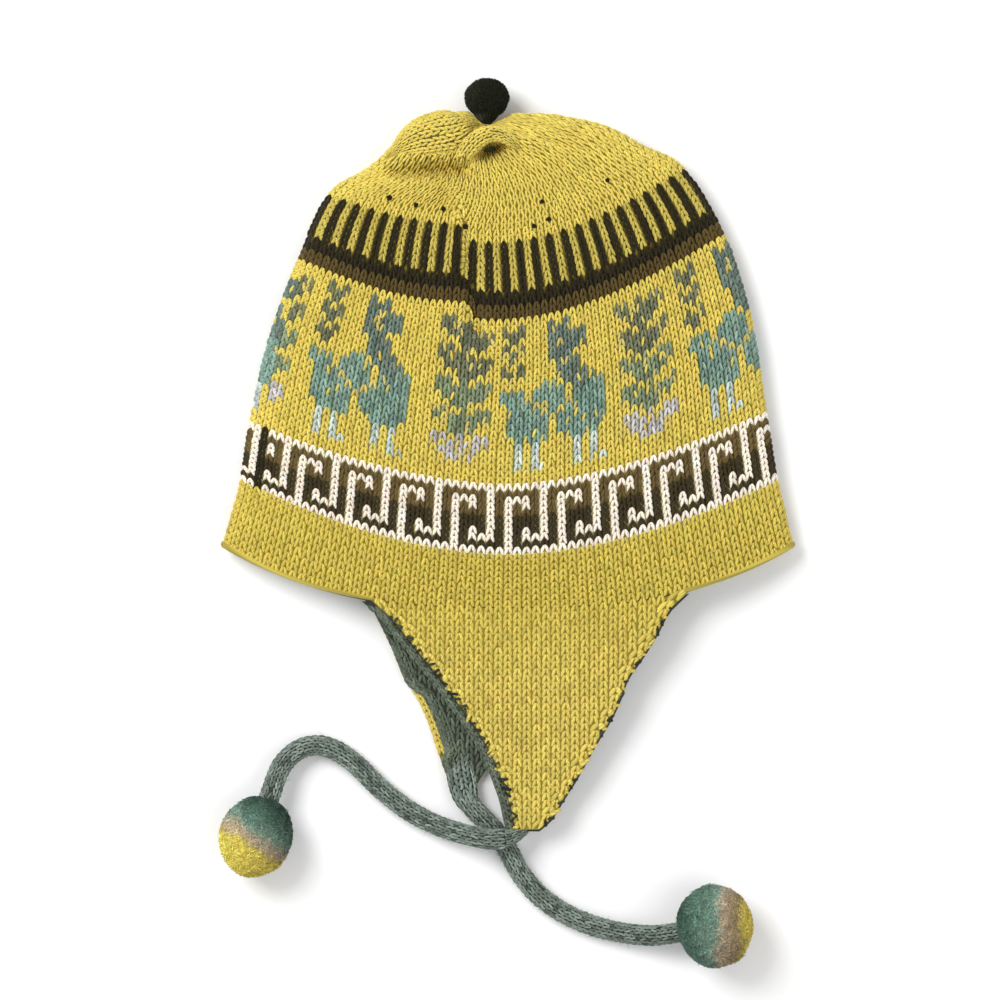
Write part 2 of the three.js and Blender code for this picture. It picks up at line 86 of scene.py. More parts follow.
class Shade(Enum):
    """Yarn colours of the hat, as linear shares."""

    YELLOW = srgb(223, 202, 97)
    RIM_YELLOW = srgb(212, 192, 88)
    FLAP_YELLOW = srgb(220, 200, 100)
    # Painted shade: the bars' yellow is the yellow yarn drawn dimmer.
    SHADED_BAR_YELLOW = srgb(198, 180, 86)
    BROWN = srgb(92, 76, 38)
    DARK = srgb(44, 38, 20)
    EARTH = srgb(104, 86, 50)
    UMBER = srgb(62, 53, 32)
    CREAM = srgb(252, 240, 224)
    TEAL = srgb(130, 158, 145)
    SLATE = srgb(112, 128, 118)
    PALE = srgb(196, 208, 200)
    TREE_TOP = srgb(118, 122, 96)
    TREE_MID = srgb(132, 146, 116)
    TREE_LOW = srgb(196, 192, 190)
    FLECK = srgb(206, 190, 112)
    LINING = srgb(106, 116, 99)
    TIE = srgb(123, 135, 125)
    WHIP = srgb(46, 50, 38)

    def tone(self, share: float = 1.0) -> np.ndarray:
        """The colour made lighter or darker by a share."""
        return np.array(self.value) * share


@dataclass(frozen=True)
class Charts:
    """Knitting charts of the bands, top row first, one letter for each stitch."""

    meander: tuple[str, ...] = (
        "WWWWWW",
        "....W.",
        "WWW.W.",
        "W.W.W.",
        "W...W.",
        "W...W.",
        "W...W.",
        "W.W.W.",
        "W.WWW.",
        "W.....",
        "WWWWWW",
    )
    earth_rows: int = 5
    llama: tuple[str, ...] = (
        "......S.S....",
        "......SSS....",
        "......SSSSS..",
        "......SFSSS..",
        "......SSSSS..",
        "......SSS....",
        ".......SSS...",
        ".......SSS...",
        ".......SSSS..",
        ".....TT.SSSS.",
        "TTT.TTTT.SSTT",
        "TTTFTTTT.TTTT",
        ".TTTFTTTFTTTT",
        ".TTTTFTFTTTTT",
        ".TTTTTFTTTTTT",
        ".TTTTT.TTTTTT",
        ".TTTTT.TTTTTT",
        "..TTTT..TTTT.",
        "..L.L....L.L.",
        "..L.L....L.L.",
        "..L.L....L.L.",
        "..L.LL...L.LL",
    )
    tree_tier: tuple[str, ...] = ("XX.X.XX", "XXXXXXX", ".XXXXX.", "..XXX..")
    tree_tiers: tuple[Shade, ...] = (
        Shade.TREE_TOP,
        Shade.TREE_TOP,
        Shade.TREE_MID,
        Shade.TREE_MID,
        Shade.TREE_LOW,
    )
    chain: tuple[str, ...] = ("X.X", "XXX", ".X.")
    chain_rows: int = 9


@dataclass(frozen=True)
class Courses:
    """Rows of knitting from rim to gather: how many, and the course at which each band ends."""

    rim_rows: int = 9
    meander_rows: int = 11
    figure_rows: int = 25
    brown_rows: int = 2
    dark_rows: int = 2
    bar_rows: int = 7
    crown_rows: int = 17
    rim_end: float = 0.11
    meander_end: float = 0.264
    figure_end: float = 0.61
    bars_end: float = 0.765
    crown_end: float = 0.984
    stitches: int = 124

    def levels(self) -> np.ndarray:
        """Courses of the lines between rows, from the rim up.

        Returns:
            The courses, from 0 up.
        """
        stripes = self.brown_rows + self.dark_rows + self.bar_rows
        rows = (self.rim_rows, self.meander_rows, self.figure_rows, stripes, self.crown_rows)
        ends = (0.0, self.rim_end, self.meander_end, self.figure_end, self.bars_end, self.crown_end)
        spans = [np.linspace(a, b, n + 1)[1:] for a, b, n in zip(ends, ends[1:], rows)]
        return np.concatenate([[0.0], *spans])


class Table:
    """A table with named columns, read smoothly between its rows."""

    def __init__(self, names: str, rows: list[tuple[float, ...]]) -> None:
        """Keep the columns.

        Args:
            names: the columns' names with spaces between, the key first.
            rows: one tuple for each row.
        """
        values = np.array(rows, float)
        self.columns = {name: values[:, i] for i, name in enumerate(names.split())}
        self.keys = values[:, 0]

    def read(self, name: str, at: np.ndarray) -> np.ndarray:
        """A column between its rows: a cubic whose slopes come from the neighbour rows.

        Args:
            name: the column.
            at: places along the key column.

        Returns:
            The column's value at each place.
        """
        keys, values = self.keys, self.columns[name]
        last = len(keys) - 1
        before = np.maximum(np.arange(last + 1) - 1, 0)
        after = np.minimum(np.arange(last + 1) + 1, last)
        slopes = (values[after] - values[before]) / (keys[after] - keys[before])
        i = np.clip(np.searchsorted(keys, at, side="left") - 1, 0, last - 1)
        span = keys[i + 1] - keys[i]
        t = np.clip((at - keys[i]) / span, 0, 1)
        low = values[i] * (1 + 2 * t) * (1 - t) ** 2 + slopes[i] * span * t * (1 - t) ** 2
        high = values[i + 1] * (3 - 2 * t) * t**2 - slopes[i + 1] * span * (1 - t) * t**2
        return low + high


SECTIONS = Table(
    "course mid_x mid_y back_x back_y front_x front_y bend top bottom fold",
    [
        (0.0, 0.0, 0.0, -1.0, 0.122, 1.0, 0.122, 2.8, 0.72, 0.0, 1.0),
        (0.055, 0.0, 0.053, -0.974, 0.178, 0.974, 0.185, 2.2, 0.79, 0.0, 1.0),
        (0.11, 0.0, 0.106, -0.943, 0.241, 0.944, 0.261, 1.8, 0.85, 0.0, 1.0),
        (0.264, 0.0, 0.248, -0.911, 0.357, 0.904, 0.402, 1.65, 0.92, 0.0, 1.0),
        (0.43, -0.007, 0.409, -0.844, 0.535, 0.856, 0.578, 1.65, 0.97, 0.0, 1.0),
        (0.61, -0.022, 0.583, -0.737, 0.709, 0.759, 0.763, 1.7, 1.0, 0.0, 1.0),
        (0.78, -0.037, 0.757, -0.618, 0.854, 0.605, 0.909, 1.7, 0.96, 0.01, 1.15),
        (0.85, -0.052, 0.822, -0.474, 0.909, 0.474, 0.948, 1.7, 0.92, 0.03, 1.25),
        (0.905, -0.067, 0.874, -0.363, 0.972, 0.341, 0.989, 1.7, 0.85, 0.08, 1.4),
        (0.958, -0.074, 0.922, -0.244, 1.011, 0.163, 1.011, 1.7, 0.72, 0.19, 1.6),
        (0.986, -0.074, 0.957, -0.148, 1.02, 0.03, 1.015, 1.7, 0.56, 0.29, 1.7),
    ],
)
# Ridges and creases run straight from (x1, y1) to (x2, y2), in shares of the hat's half width and length.
FOLDS = Table(
    "number x1 y1 x2 y2 spread height",
    [
        (0, -0.4, 0.935, -0.19, 0.975, 0.032, 0.26),
        (1, -0.44, 0.885, -0.15, 0.893, 0.016, -0.1),
        (2, -0.165, 0.905, -0.105, 0.962, 0.014, 0.14),
        (3, -0.085, 0.93, -0.045, 0.937, 0.016, -0.3),
        (4, -0.05, 0.972, 0.1, 0.95, 0.02, 0.12),
        (5, -0.24, 0.83, -0.14, 0.7, 0.018, -0.1),
        (6, -0.14, 0.7, -0.105, 0.54, 0.02, -0.16),
        (7, -0.1, 0.54, -0.03, 0.42, 0.024, -0.07),
        (8, -0.24, 0.72, -0.2, 0.55, 0.04, 0.07),
        (9, -0.4, 0.89, -0.16, 0.894, 0.013, -0.22),
        (10, -0.12, 0.94, -0.03, 0.944, 0.014, -0.1),
        (11, 0.0, 0.975, 0.17, 0.945, 0.008, -0.07),
        (12, 0.05, 0.935, 0.12, 0.905, 0.01, -0.06),
    ],
)


@dataclass
class HatCloth:
    """The crown's cloth as a surface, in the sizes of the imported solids."""

    half_width: float = 135 * MM
    crown_length: float = 230 * MM
    loft: float = 36 * MM
    fold_height: float = 8 * MM
    knit_wall: float = 2.4 * MM
    lining_wall: float = 1.8 * MM
    layer_gap: float = 0.5 * MM
    lining_show: float = 1.1 * MM
    top_squareness: float = 2.5
    under_squareness: float = 4.0
    under_press: float = 1.05
    gather_start: float = 0.5
    gather: tuple[float, float, float] = (-0.074, 0.99, 0.4)
    tuck_step: float = 7.5 * MM
    tuck_x: float = -0.14
    tuck_slope: float = 0.16
    tuck_middle: float = 0.66
    tuck_soft: float = 3 * MM
    tuck_fade: float = 38 * MM
    tuck_span: tuple[float, float] = (0.42, 0.9)
    tuck_ends: float = 0.12
    side_share: float = 0.3
    band_lift: tuple[float, float] = (0.022, -0.004)
    band_power: float = 2.2
    band_span: tuple[float, float] = (0.0, 0.46)
    band_ends: tuple[float, float] = (0.12, 0.2)
    snap_reach: float = 2.5
    ring_steps: int = 1801
    origin: np.ndarray = field(default_factory=lambda: np.zeros(3))

    @staticmethod
    def inset(size: np.ndarray, depth: float) -> np.ndarray:
        """What is left of a half size under a wall of that depth, never less than nothing."""
        return size - depth * np.tanh(size / depth) if depth > 0 else size

    def fold_rise(self, x: np.ndarray, y: np.ndarray) -> np.ndarray:
        """Height that ridges and creases add: a bell across the distance to each one's line.

        Args:
            x, y: places, measured from the middle of the rim.

        Returns:
            The added heights.
        """
        c = FOLDS.columns
        total = np.zeros_like(x)
        for i in range(len(FOLDS.keys)):
            ax, ay = c["x1"][i] * self.half_width, c["y1"][i] * self.crown_length
            dx, dy = c["x2"][i] * self.half_width - ax, c["y2"][i] * self.crown_length - ay
            along = np.clip(((x - ax) * dx + (y - ay) * dy) / (dx * dx + dy * dy), 0, 1)
            away = np.hypot(x - ax - along * dx, y - ay - along * dy)
            away = away / (c["spread"][i] * self.crown_length)
            total += c["height"][i] * self.loft * np.exp(-away * away)
        return total

    def tuck_shift(self, x: np.ndarray, y: np.ndarray) -> np.ndarray:
        """How much higher the rows lie behind the tuck than in front of it.

        The shift is whole at the tuck's line and fades towards the back fold, rim and gather.

        Args:
            x, y: places, measured from the middle of the rim.

        Returns:
            The shifts along the hat.
        """
        share_y = y / self.crown_length
        line = (self.tuck_x + self.tuck_slope * (self.tuck_middle - share_y)) * self.half_width
        side = ease((line - x) / self.tuck_soft + 0.5)
        fade = np.exp(-np.clip(line - x, 0, None) / self.tuck_fade)
        start, end = self.tuck_span
        reach = ease((share_y - start) / self.tuck_ends) * ease((end - share_y) / self.tuck_ends)
        return self.tuck_step * side * fade * reach

    def lifted(self, course: np.ndarray, across: np.ndarray) -> np.ndarray:
        """Courses as they lie: the lower bands climb with the distance from the middle.

        The climb is larger at the back than at the front, and fades out at the rim and half-way up.

        Args:
            course: the courses.
            across: shares of the half width, negative at the back.

        Returns:
            The lifted courses.
        """
        (start, end), (first, last) = self.band_span, self.band_ends
        window = ease((course - start) / first) * ease((end - course) / last)
        climb = np.where(across < 0, self.band_lift[0], self.band_lift[1])
        return course + climb * np.abs(across) ** self.band_power * window

    def point(
        self, course: np.ndarray, turn: np.ndarray, depth: float, folded: bool = True
    ) -> np.ndarray:
        """Points of the cloth: a flat-bottomed, round-topped section at each course.

        Args:
            course: from 0 at the rim to 1 at the gather.
            turn: angle round the section, 0 at the front fold and a half turn at the back fold.
            depth: how far inside the outer face.
            folded: whether the ridges, creases and the tuck are there.

        Returns:
            Points in metres in the row's frame.
        """
        course, turn = np.broadcast_arrays(np.asarray(course, float), np.asarray(turn, float))
        across = np.cos(turn)
        course = self.lifted(course, across)
        r = {n: SECTIONS.read(n, course) for n in SECTIONS.columns}
        mid_x = r["mid_x"] * self.half_width
        mid_y = r["mid_y"] * self.crown_length
        half_x = np.where(across > 0, r["front_x"], r["back_x"]) * self.half_width - mid_x
        edge_y = np.where(across > 0, r["front_y"], r["back_y"]) * self.crown_length
        closing = np.clip((course - self.gather_start) / (1 - self.gather_start), 0, None)
        face_x = mid_x + across * np.abs(half_x)
        face_y = mid_y + (edge_y - mid_y) * np.abs(across) ** r["bend"]
        over = np.sin(turn) >= 0
        if folded:
            face_y = face_y + np.where(over, self.tuck_shift(face_x, face_y), 0)
        x = mid_x + across * self.inset(np.abs(half_x), depth)
        y = face_y - depth * closing
        fold = r["fold"] * self.fold_height
        rise = arch(across, self.top_squareness)
        top = fold + self.inset(r["top"] * self.loft - fold, depth) * rise
        if folded:
            top = top + self.fold_rise(x, y) * ease(rise)
        bulge = self.under_press * arch(across, self.under_squareness)
        clear = np.clip(r["bottom"], 0, None) * self.loft
        low = fold - self.inset(fold - clear, depth) * np.minimum(1, bulge)
        return np.stack([x, y, np.where(over, top, low)], -1) + self.origin

    def ring_turns(self, course: float, shares: np.ndarray, snap: bool = False) -> np.ndarray:
        """Angles that split a course evenly along the cloth, which stretches round the folds.

        Args:
            course: the course.
            shares: shares of the way round, 0 at the back fold, over the top first.
            snap: whether a line is moved onto each side fold.

        Returns:
            The angle for each share.
        """
        turns = np.linspace(math.pi, -math.pi, self.ring_steps)
        points = self.point(course, turns, 0, folded=False)
        steps = np.linalg.norm(np.diff(points, axis=0) * np.array([1, 1, self.side_share]), axis=1)
        length = np.concatenate([[0], np.cumsum(steps)])
        whole = np.mod(shares, 1.0)
        if snap:
            front = np.interp(0.0, turns[::-1], length[::-1]) / length[-1]
            whole = np.mod(self.snapped(self.snapped(whole, 0.0), front), 1.0)
        return np.interp(whole * length[-1], length, turns)

    def snapped(self, shares: np.ndarray, fold: float) -> np.ndarray:
        """Move the line nearest to a side fold onto it, and its neighbours less and less.

        Args:
            shares: even shares of the way round, in order.
            fold: the fold's share.

        Returns:
            The moved shares.
        """
        away = np.mod(shares - fold + 0.5, 1.0) - 0.5
        offset = away[np.argmin(np.abs(away))]
        pitch = 1.0 / max(len(shares) - 1, 1)
        return shares - offset * np.exp(-np.abs(away - offset) / (self.snap_reach * pitch))

    def ring(self, course: float, shares: np.ndarray, depth: float) -> np.ndarray:
        """Points evenly spaced along a course, at a depth in the cloth."""
        return self.point(course, self.ring_turns(course, shares, snap=True), depth)

    def closing(self, share: float, shares: np.ndarray, depth: float, end: float) -> np.ndarray:
        """Points of a ring between the last course and the gather.

        Args:
            share: how far the ring has closed, from 0 to 1.
            shares: places round the ring.
            depth: how far inside the outer face.
            end: the last course.

        Returns:
            The ring's points, drawn in to the gather.
        """
        ring = self.ring(end, shares, depth)
        return ring + (self.gather_point(depth) - ring) * share

    def gather_point(self, depth: float) -> np.ndarray:
        """The point in which a layer closes at the gather.

        Args:
            depth: how far inside the outer face.

        Returns:
            The point in the row's frame.
        """
        gx, gy, gz = self.gather
        place = [gx * self.half_width, gy * self.crown_length - depth, gz * self.loft]
        return np.array(place) + self.origin


@dataclass
class MeshParts:
    """Vertices, faces, colours and yarn coordinates of a mesh in the making."""

    points: list[np.ndarray] = field(default_factory=list)
    quads: list[np.ndarray] = field(default_factory=list)
    shades: list[np.ndarray] = field(default_factory=list)
    yarn: list[np.ndarray] = field(default_factory=list)
    count: int = 0

    def add(
        self,
        points: np.ndarray,
        quads: np.ndarray,
        shades: np.ndarray,
        yarn: np.ndarray | None = None,
    ) -> None:
        """Append a batch.

        Args:
            points: (n, 3) places.
            quads: (m, 4) corners, numbered within the batch; a triangle repeats its last corner.
            shades: (n, 3) linear colours, or one colour for all.
            yarn: (n, 2) place across and along the yarn.
        """
        n = len(points)
        self.points.append(points)
        self.quads.append(quads + self.count)
        self.shades.append(np.broadcast_to(shades, (n, 3)))
        self.yarn.append(np.zeros((n, 2)) if yarn is None else yarn)
        self.count += n

    def mesh(self, name: str) -> bpy.types.Mesh:
        """The mesh, with its colours and yarn coordinates as attributes.

        Args:
            name: the mesh's name.

        Returns:
            The new mesh.
        """
        points, quads = np.concatenate(self.points), np.concatenate(self.quads)
        sizes = np.where(quads[:, 2] == quads[:, 3], 3, 4)
        corners = quads[np.arange(4)[None, :] < sizes[:, None]].astype(np.int32)
        starts = np.concatenate([[0], np.cumsum(sizes)[:-1]]).astype(np.int32)
        mesh = bpy.data.meshes.new(name)
        mesh.vertices.add(len(points))
        mesh.vertices.foreach_set("co", points.astype(np.float32).ravel())
        mesh.loops.add(len(corners))
        mesh.loops.foreach_set("vertex_index", corners)
        mesh.polygons.add(len(quads))
        mesh.polygons.foreach_set("loop_start", starts)
        mesh.polygons.foreach_set("loop_total", sizes.astype(np.int32))
        mesh.polygons.foreach_set("use_smooth", np.ones(len(quads), bool))
        mesh.update(calc_edges=True)
        shades = np.concatenate(self.shades)
        rgba = np.concatenate([shades, np.ones((len(shades), 1))], 1).astype(np.float32)
        mesh.color_attributes.new("Yarn", "FLOAT_COLOR", "POINT")
        mesh.color_attributes["Yarn"].data.foreach_set("color", rgba.ravel())
        yarn = np.concatenate(self.yarn)[corners].astype(np.float32)
        mesh.uv_layers.new(name="Strand").data.foreach_set("uv", yarn.ravel())
        mesh.validate()
        return mesh

    def piece(
        self, name: str, material: bpy.types.Material, node: str, slot: str
    ) -> bpy.types.Object:
        """Make the object, which rides with the hat and stands for a solid.

        Args:
            name: the piece's name.
            material: its finish.
            node: the solid that it replaces.
            slot: the record's material slot; not used.

        Returns:
            The new object, linked to the scene.
        """
        mesh = self.mesh(name)
        piece = bpy.data.objects.new(name, mesh)
        bpy.context.scene.collection.objects.link(piece)
        mesh.materials.append(material)
        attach(piece, "root")
        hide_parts(node)
        LOG.info("%s: %d faces", name, len(mesh.polygons))
        return piece


def grid_quads(rows: int, columns: int, wrap: bool) -> np.ndarray:
    """Quads of a grid of points, turning left seen from the side where rows go up.

    Args:
        rows: how many lines of points.
        columns: points in a line.
        wrap: whether the last column meets the first.

    Returns:
        (n, 4) corner numbers.
    """
    i, j = np.meshgrid(
        np.arange(rows - 1), np.arange(columns if wrap else columns - 1), indexing="ij"
    )
    a = (i * columns + j).ravel()
    b = (i * columns + (j + 1) % columns).ravel()
    return np.stack([a, b, b + columns, a + columns], 1)


def add_fan(
    parts: MeshParts, ring: np.ndarray, tip: np.ndarray, shade: np.ndarray, flip: bool
) -> None:
    """Close a ring with triangles to a point.

    Args:
        parts: the mesh to add to.
        ring: (n, 3) points of the ring.
        tip: the point.
        shade: the colour.
        flip: whether the triangles turn the other way round.
    """
    k, last = np.arange(len(ring)), np.full(len(ring), len(ring))
    fan = np.stack([k, (k + 1) % len(ring), last, last], 1)
    parts.add(np.concatenate([ring, tip[None]]), fan[:, [1, 0, 2, 3]] if flip else fan, shade)


def add_strands(
    parts: MeshParts, lines: np.ndarray, radius: np.ndarray, shades: np.ndarray, sides: int
) -> None:
    """Add thin tubes along short lines of points, closed at their far ends.

    Args:
        parts: the mesh to add to.
        lines: (n, k, 3) points of each strand.
        radius: radii that fit (n, k).
        shades: colours that fit (n, k, 3).
        sides: sides of a tube.
    """
    n, k, _ = lines.shape
    heading = unit(np.gradient(lines, axis=1))
    seed = np.where(np.abs(heading[..., 2:]) < 0.8, UP, [1.0, 0.0, 0.0])
    side = unit(np.cross(heading, seed))
    up = np.cross(side, heading)
    angle = np.arange(sides) * 2 * math.pi / sides
    out = np.cos(angle)[:, None] * side[:, :, None] + np.sin(angle)[:, None] * up[:, :, None]
    size = np.broadcast_to(radius, (n, k))[:, :, None, None]
    points = (lines[:, :, None] + out * size).reshape(-1, 3)
    end = (k - 1) * sides
    caps = [[end, end + i, end + i + 1, end + i + 1] for i in range(1, sides - 1)]
    quads = np.concatenate([grid_quads(k, sides, True), np.array(caps)])
    every = (quads[None] + (np.arange(n) * k * sides)[:, None, None]).reshape(-1, 4)
    colour = np.broadcast_to(shades, (n, k, 3)).repeat(sides, axis=1).reshape(-1, 3)
    along = np.tile(np.repeat(np.linspace(0, 1, k), sides), n)
    around = np.tile(np.linspace(-1, 1, sides), n * k)
    parts.add(points, every, np.clip(colour, 0.001, 1), np.stack([around, along], 1))


@dataclass(frozen=True)
class StitchShape:
    """Shape of one leg of a stitch, in shares of the stitch's width and height."""

    along: int = 4
    across: int = 4
    foot: float = 0.1
    spread: float = 0.235
    lean_power: float = 0.85
    start: float = -0.3
    reach: float = 1.26
    tilt: float = 0.06
    half: float = 0.225
    taper: tuple[float, float, float] = (0.14, 0.72, 0.6)
    arc: tuple[float, float] = (0.2, 0.76)
    least_lift: float = 0.16
    sink: float = 0.12
    height: float = 1.3 * MM

    def template(self) -> tuple[np.ndarray, np.ndarray, np.ndarray, np.ndarray, np.ndarray]:
        """Both legs on a grid: a rounded bar that leans outwards and sinks at its lower end.

        The hat is worked from the crown down, so the legs meet at the stitch's top.

        Returns:
            Shares across and up the stitch, share of the height, quads, and yarn coordinates.
        """
        t = np.linspace(0, 1, self.along + 1)[:, None]
        w = np.linspace(-1, 1, self.across + 1)[None, :]
        first, span, power = self.taper
        bell = np.sin(math.pi * (first + span * t)) ** power
        u = self.foot + self.spread * t**self.lean_power + self.half * bell * w
        v = 1 - (self.start + self.reach * t + self.tilt * w)
        bow = np.sin(math.pi * (self.arc[0] + self.arc[1] * t))
        lift = self.least_lift + (1 - self.least_lift) * bow
        h = lift * arch(w) - self.sink
        right = grid_quads(self.along + 1, self.across + 1, False)[:, ::-1]
        left = right[:, ::-1] + u.size
        wide, long = np.broadcast_to(w, u.shape).ravel(), np.broadcast_to(t, u.shape).ravel()
        yarn = np.stack([np.concatenate([wide, -wide]), np.tile(long, 2)], 1)
        uu = np.concatenate([(0.5 + u).ravel(), (0.5 - u).ravel()])
        return uu, np.tile(v.ravel(), 2), np.tile(h.ravel(), 2), np.concatenate([right, left]), yarn


@dataclass
class StitchField:
    """Stitches as cells of a surface, turned into yarn legs."""

    shape: StitchShape
    rng: np.random.Generator
    tint: float = 0.013
    wobble: float = 0.03
    usual_width: float = 3.6 * MM
    sizes: tuple[float, float] = (0.35, 1.1)
    unevenness: tuple[float, float] = (0.86, 1.08)
    corners: list[np.ndarray] = field(default_factory=list)
    shades: list[np.ndarray] = field(default_factory=list)

    def add_row(self, low: np.ndarray, high: np.ndarray, shades: np.ndarray) -> None:
        """Add a row of stitches between two lines of points.

        Args:
            low: (n + 1, 3) points under the row.
            high: (n + 1, 3) points over it.
            shades: one linear colour for all stitches.
        """
        cells = row_cells(low, high)
        self.add_cells(cells, np.broadcast_to(shades, (len(cells), 2, 3)))

    def add_cells(self, cells: np.ndarray, legs: np.ndarray) -> None:
        """Add stitches by their four corners, with a colour for each leg."""
        self.corners.append(cells)
        self.shades.append(legs)

    def legs(self, parts: MeshParts, heather: float) -> MeshParts:
        """Turn every cell into the two legs of its stitch.

        A leg's point is the cell's corners mixed by its shares, lifted along the cell's normal.

        Args:
            parts: the mesh to add to.
            heather: how much the colour varies from leg to leg.

        Returns:
            The same mesh parts.
        """
        cells, shades = np.concatenate(self.corners), np.concatenate(self.shades)
        u, v, h, quads, yarn = self.shape.template()
        n, k = len(cells), len(u)
        shift = self.rng.normal(0, self.wobble, (n, 2))
        uu, vv = u[None, :] + shift[:, :1], v[None, :] + shift[:, 1:]
        weights = np.stack([(1 - uu) * (1 - vv), uu * (1 - vv), (1 - uu) * vv, uu * vv], 2)
        base = np.einsum("nkc,ncd->nkd", weights, cells)
        right = cells[:, 1] - cells[:, 0] + cells[:, 3] - cells[:, 2]
        up = cells[:, 2] - cells[:, 0] + cells[:, 3] - cells[:, 1]
        normal = unit(np.cross(right, up))
        width = np.linalg.norm(right, axis=1) / 2
        size = np.clip(width / self.usual_width, *self.sizes) * self.rng.uniform(*self.unevenness, n)
        lift = h[None, :] * self.shape.height * size[:, None]
        points = base + normal[:, None, :] * lift[:, :, None]
        tone = 1 + self.rng.normal(0, heather, (n, 2, 1))
        tint = 1 + self.rng.normal(0, self.tint, (n, 1, 3))
        shade = np.clip(np.repeat(shades * tone * tint, k // 2, axis=1), 0.002, 1)
        every = (quads[None] + (np.arange(n) * k)[:, None, None]).reshape(-1, 4)
        drawn = np.tile(yarn, (n, 1))
        drawn[:, 1] += np.repeat(self.rng.uniform(0, 9, n), k)
        parts.add(points.reshape(-1, 3), every, shade.reshape(-1, 3), drawn)
        return parts


def row_cells(low: np.ndarray, high: np.ndarray) -> np.ndarray:
    """Corners of the stitches between two lines of points, (n, 4, 3)."""
    return np.stack([low[:-1], low[1:], high[:-1], high[1:]], 1)


class Finishes:
    """Materials of the hat and the node group that they share."""

    def __init__(self) -> None:
        """Build the shared group once."""
        self.twist = self._twist_group()

    @staticmethod
    def _node(
        tree: bpy.types.NodeTree, kind: str, values: dict | None = None, operation: str = ""
    ) -> bpy.types.Node:
        """Add a shader node.

        Args:
            tree: where it goes.
            kind: its type, without the first words that all shader nodes share.
            values: values of its inputs.
            operation: what a maths node does.

        Returns:
            The node.
        """
        node = tree.nodes.new(f"ShaderNode{kind}")
        if operation:
            node.operation = operation
        for key, value in (values or {}).items():
            node.inputs[key].default_value = value
        return node

    @staticmethod
    def _wire(tree: bpy.types.NodeTree, wires: tuple[tuple, ...]) -> None:
        """Link outputs to inputs, each wire a node, its output, a node and its input."""
        for source, output, target, entry in wires:
            tree.links.new(source.outputs[output], target.inputs[entry])

    def _twist_group(self) -> bpy.types.NodeTree:
        """Group that gives a yarn's plies and loose fibres as a height, and as a tone of painted shade
        and highlight that follows the height.

        Returns:
            The node group.
        """
        tree = bpy.data.node_groups.new("yarn_twist", "ShaderNodeTree")
        for way, names in (("INPUT", ("Plies", "Fibre Scale")), ("OUTPUT", ("Height", "Relief Shade"))):
            for name in names:
                tree.interface.new_socket(name, in_out=way, socket_type="NodeSocketFloat")
        given, put = tree.nodes.new("NodeGroupInput"), tree.nodes.new("NodeGroupOutput")
        uv = self._node(tree, "UVMap")
        uv.uv_map = "Strand"
        place = self._node(tree, "TexCoord")
        fibre = self._node(tree, "TexNoise", {"Detail": 4, "Roughness": 0.65})
        split = self._node(tree, "SeparateXYZ")
        slant = self._node(tree, "Math", {1: 0.35}, "MULTIPLY_ADD")
        turns = self._node(tree, "Math", operation="MULTIPLY")
        wave = self._node(tree, "Math", operation="SINE")
        height = self._node(tree, "Math", {1: 0.3}, "MULTIPLY_ADD")
        # Painted shade and highlight: low parts of the relief darken the yarn's colour, high parts
        # lighten it.
        limits = {"From Min": 0.25, "From Max": 0.8, "To Min": 0.72, "To Max": 1.14}
        tone = self._node(tree, "MapRange", limits)
        wires = (
            (place, "Object", fibre, "Vector"),
            (given, "Fibre Scale", fibre, "Scale"),
            (uv, "UV", split, "Vector"),
            (split, "X", slant, 0),
            (split, "Y", slant, 2),
            (slant, 0, turns, 0),
            (given, "Plies", turns, 1),
            (turns, 0, wave, 0),
            (wave, 0, height, 0),
            (fibre, "Fac", height, 2),
            (height, 0, put, "Height"),
            (height, 0, tone, "Value"),
            (tone, "Result", put, "Relief Shade"),
        )
        self._wire(tree, wires)
        return tree

    def yarn(self, name: str, plies: float = 16.0, bump: float = 0.35) -> bpy.types.Material:
        """Wool finish: the piece's yarn colours with plies, fibres, painted shade and highlight that
        follow their relief, and a soft sheen.

        Args:
            name: the material's name.
            plies: turns of the yarn's twist along a leg, in radians.
            bump: strength of the relief.

        Returns:
            The material.
        """
        material = bpy.data.materials.new(name)
        material.use_nodes = True
        tree = material.node_tree
        shader = tree.nodes["Principled BSDF"]
        looks = {
            "Roughness": 0.92,
            "Specular IOR Level": 0.08,
            "Sheen Weight": 0.06,
            "Sheen Roughness": 0.6,
        }
        for key, value in looks.items():
            shader.inputs[key].default_value = value
        group = tree.nodes.new("ShaderNodeGroup")
        group.node_tree = self.twist
        group.inputs["Plies"].default_value = plies
        group.inputs["Fibre Scale"].default_value = 2600.0
        shade = self._node(tree, "Attribute")
        shade.attribute_name = "Yarn"
        # The yarn's colour scaled by the painted shade and highlight of its relief.
        mix = self._node(tree, "VectorMath", operation="SCALE")
        relief = self._node(tree, "Bump", {"Strength": bump, "Distance": 0.4 * MM})
        wires = (
            (shade, "Color", mix, 0),
            (group, "Relief Shade", mix, "Scale"),
            (mix, 0, shader, "Base Color"),
            (group, "Height", relief, "Height"),
            (relief, "Normal", shader, "Normal"),
        )
        self._wire(tree, wires)
        return material


FLECK_CHANCES = {
    Shade.TREE_TOP: 0.22,
    Shade.TREE_MID: 0.26,
    Shade.TREE_LOW: 0.2,
    Shade.SLATE: 0.1,
    Shade.TEAL: 0.07,
    Shade.PALE: 0.08,
}


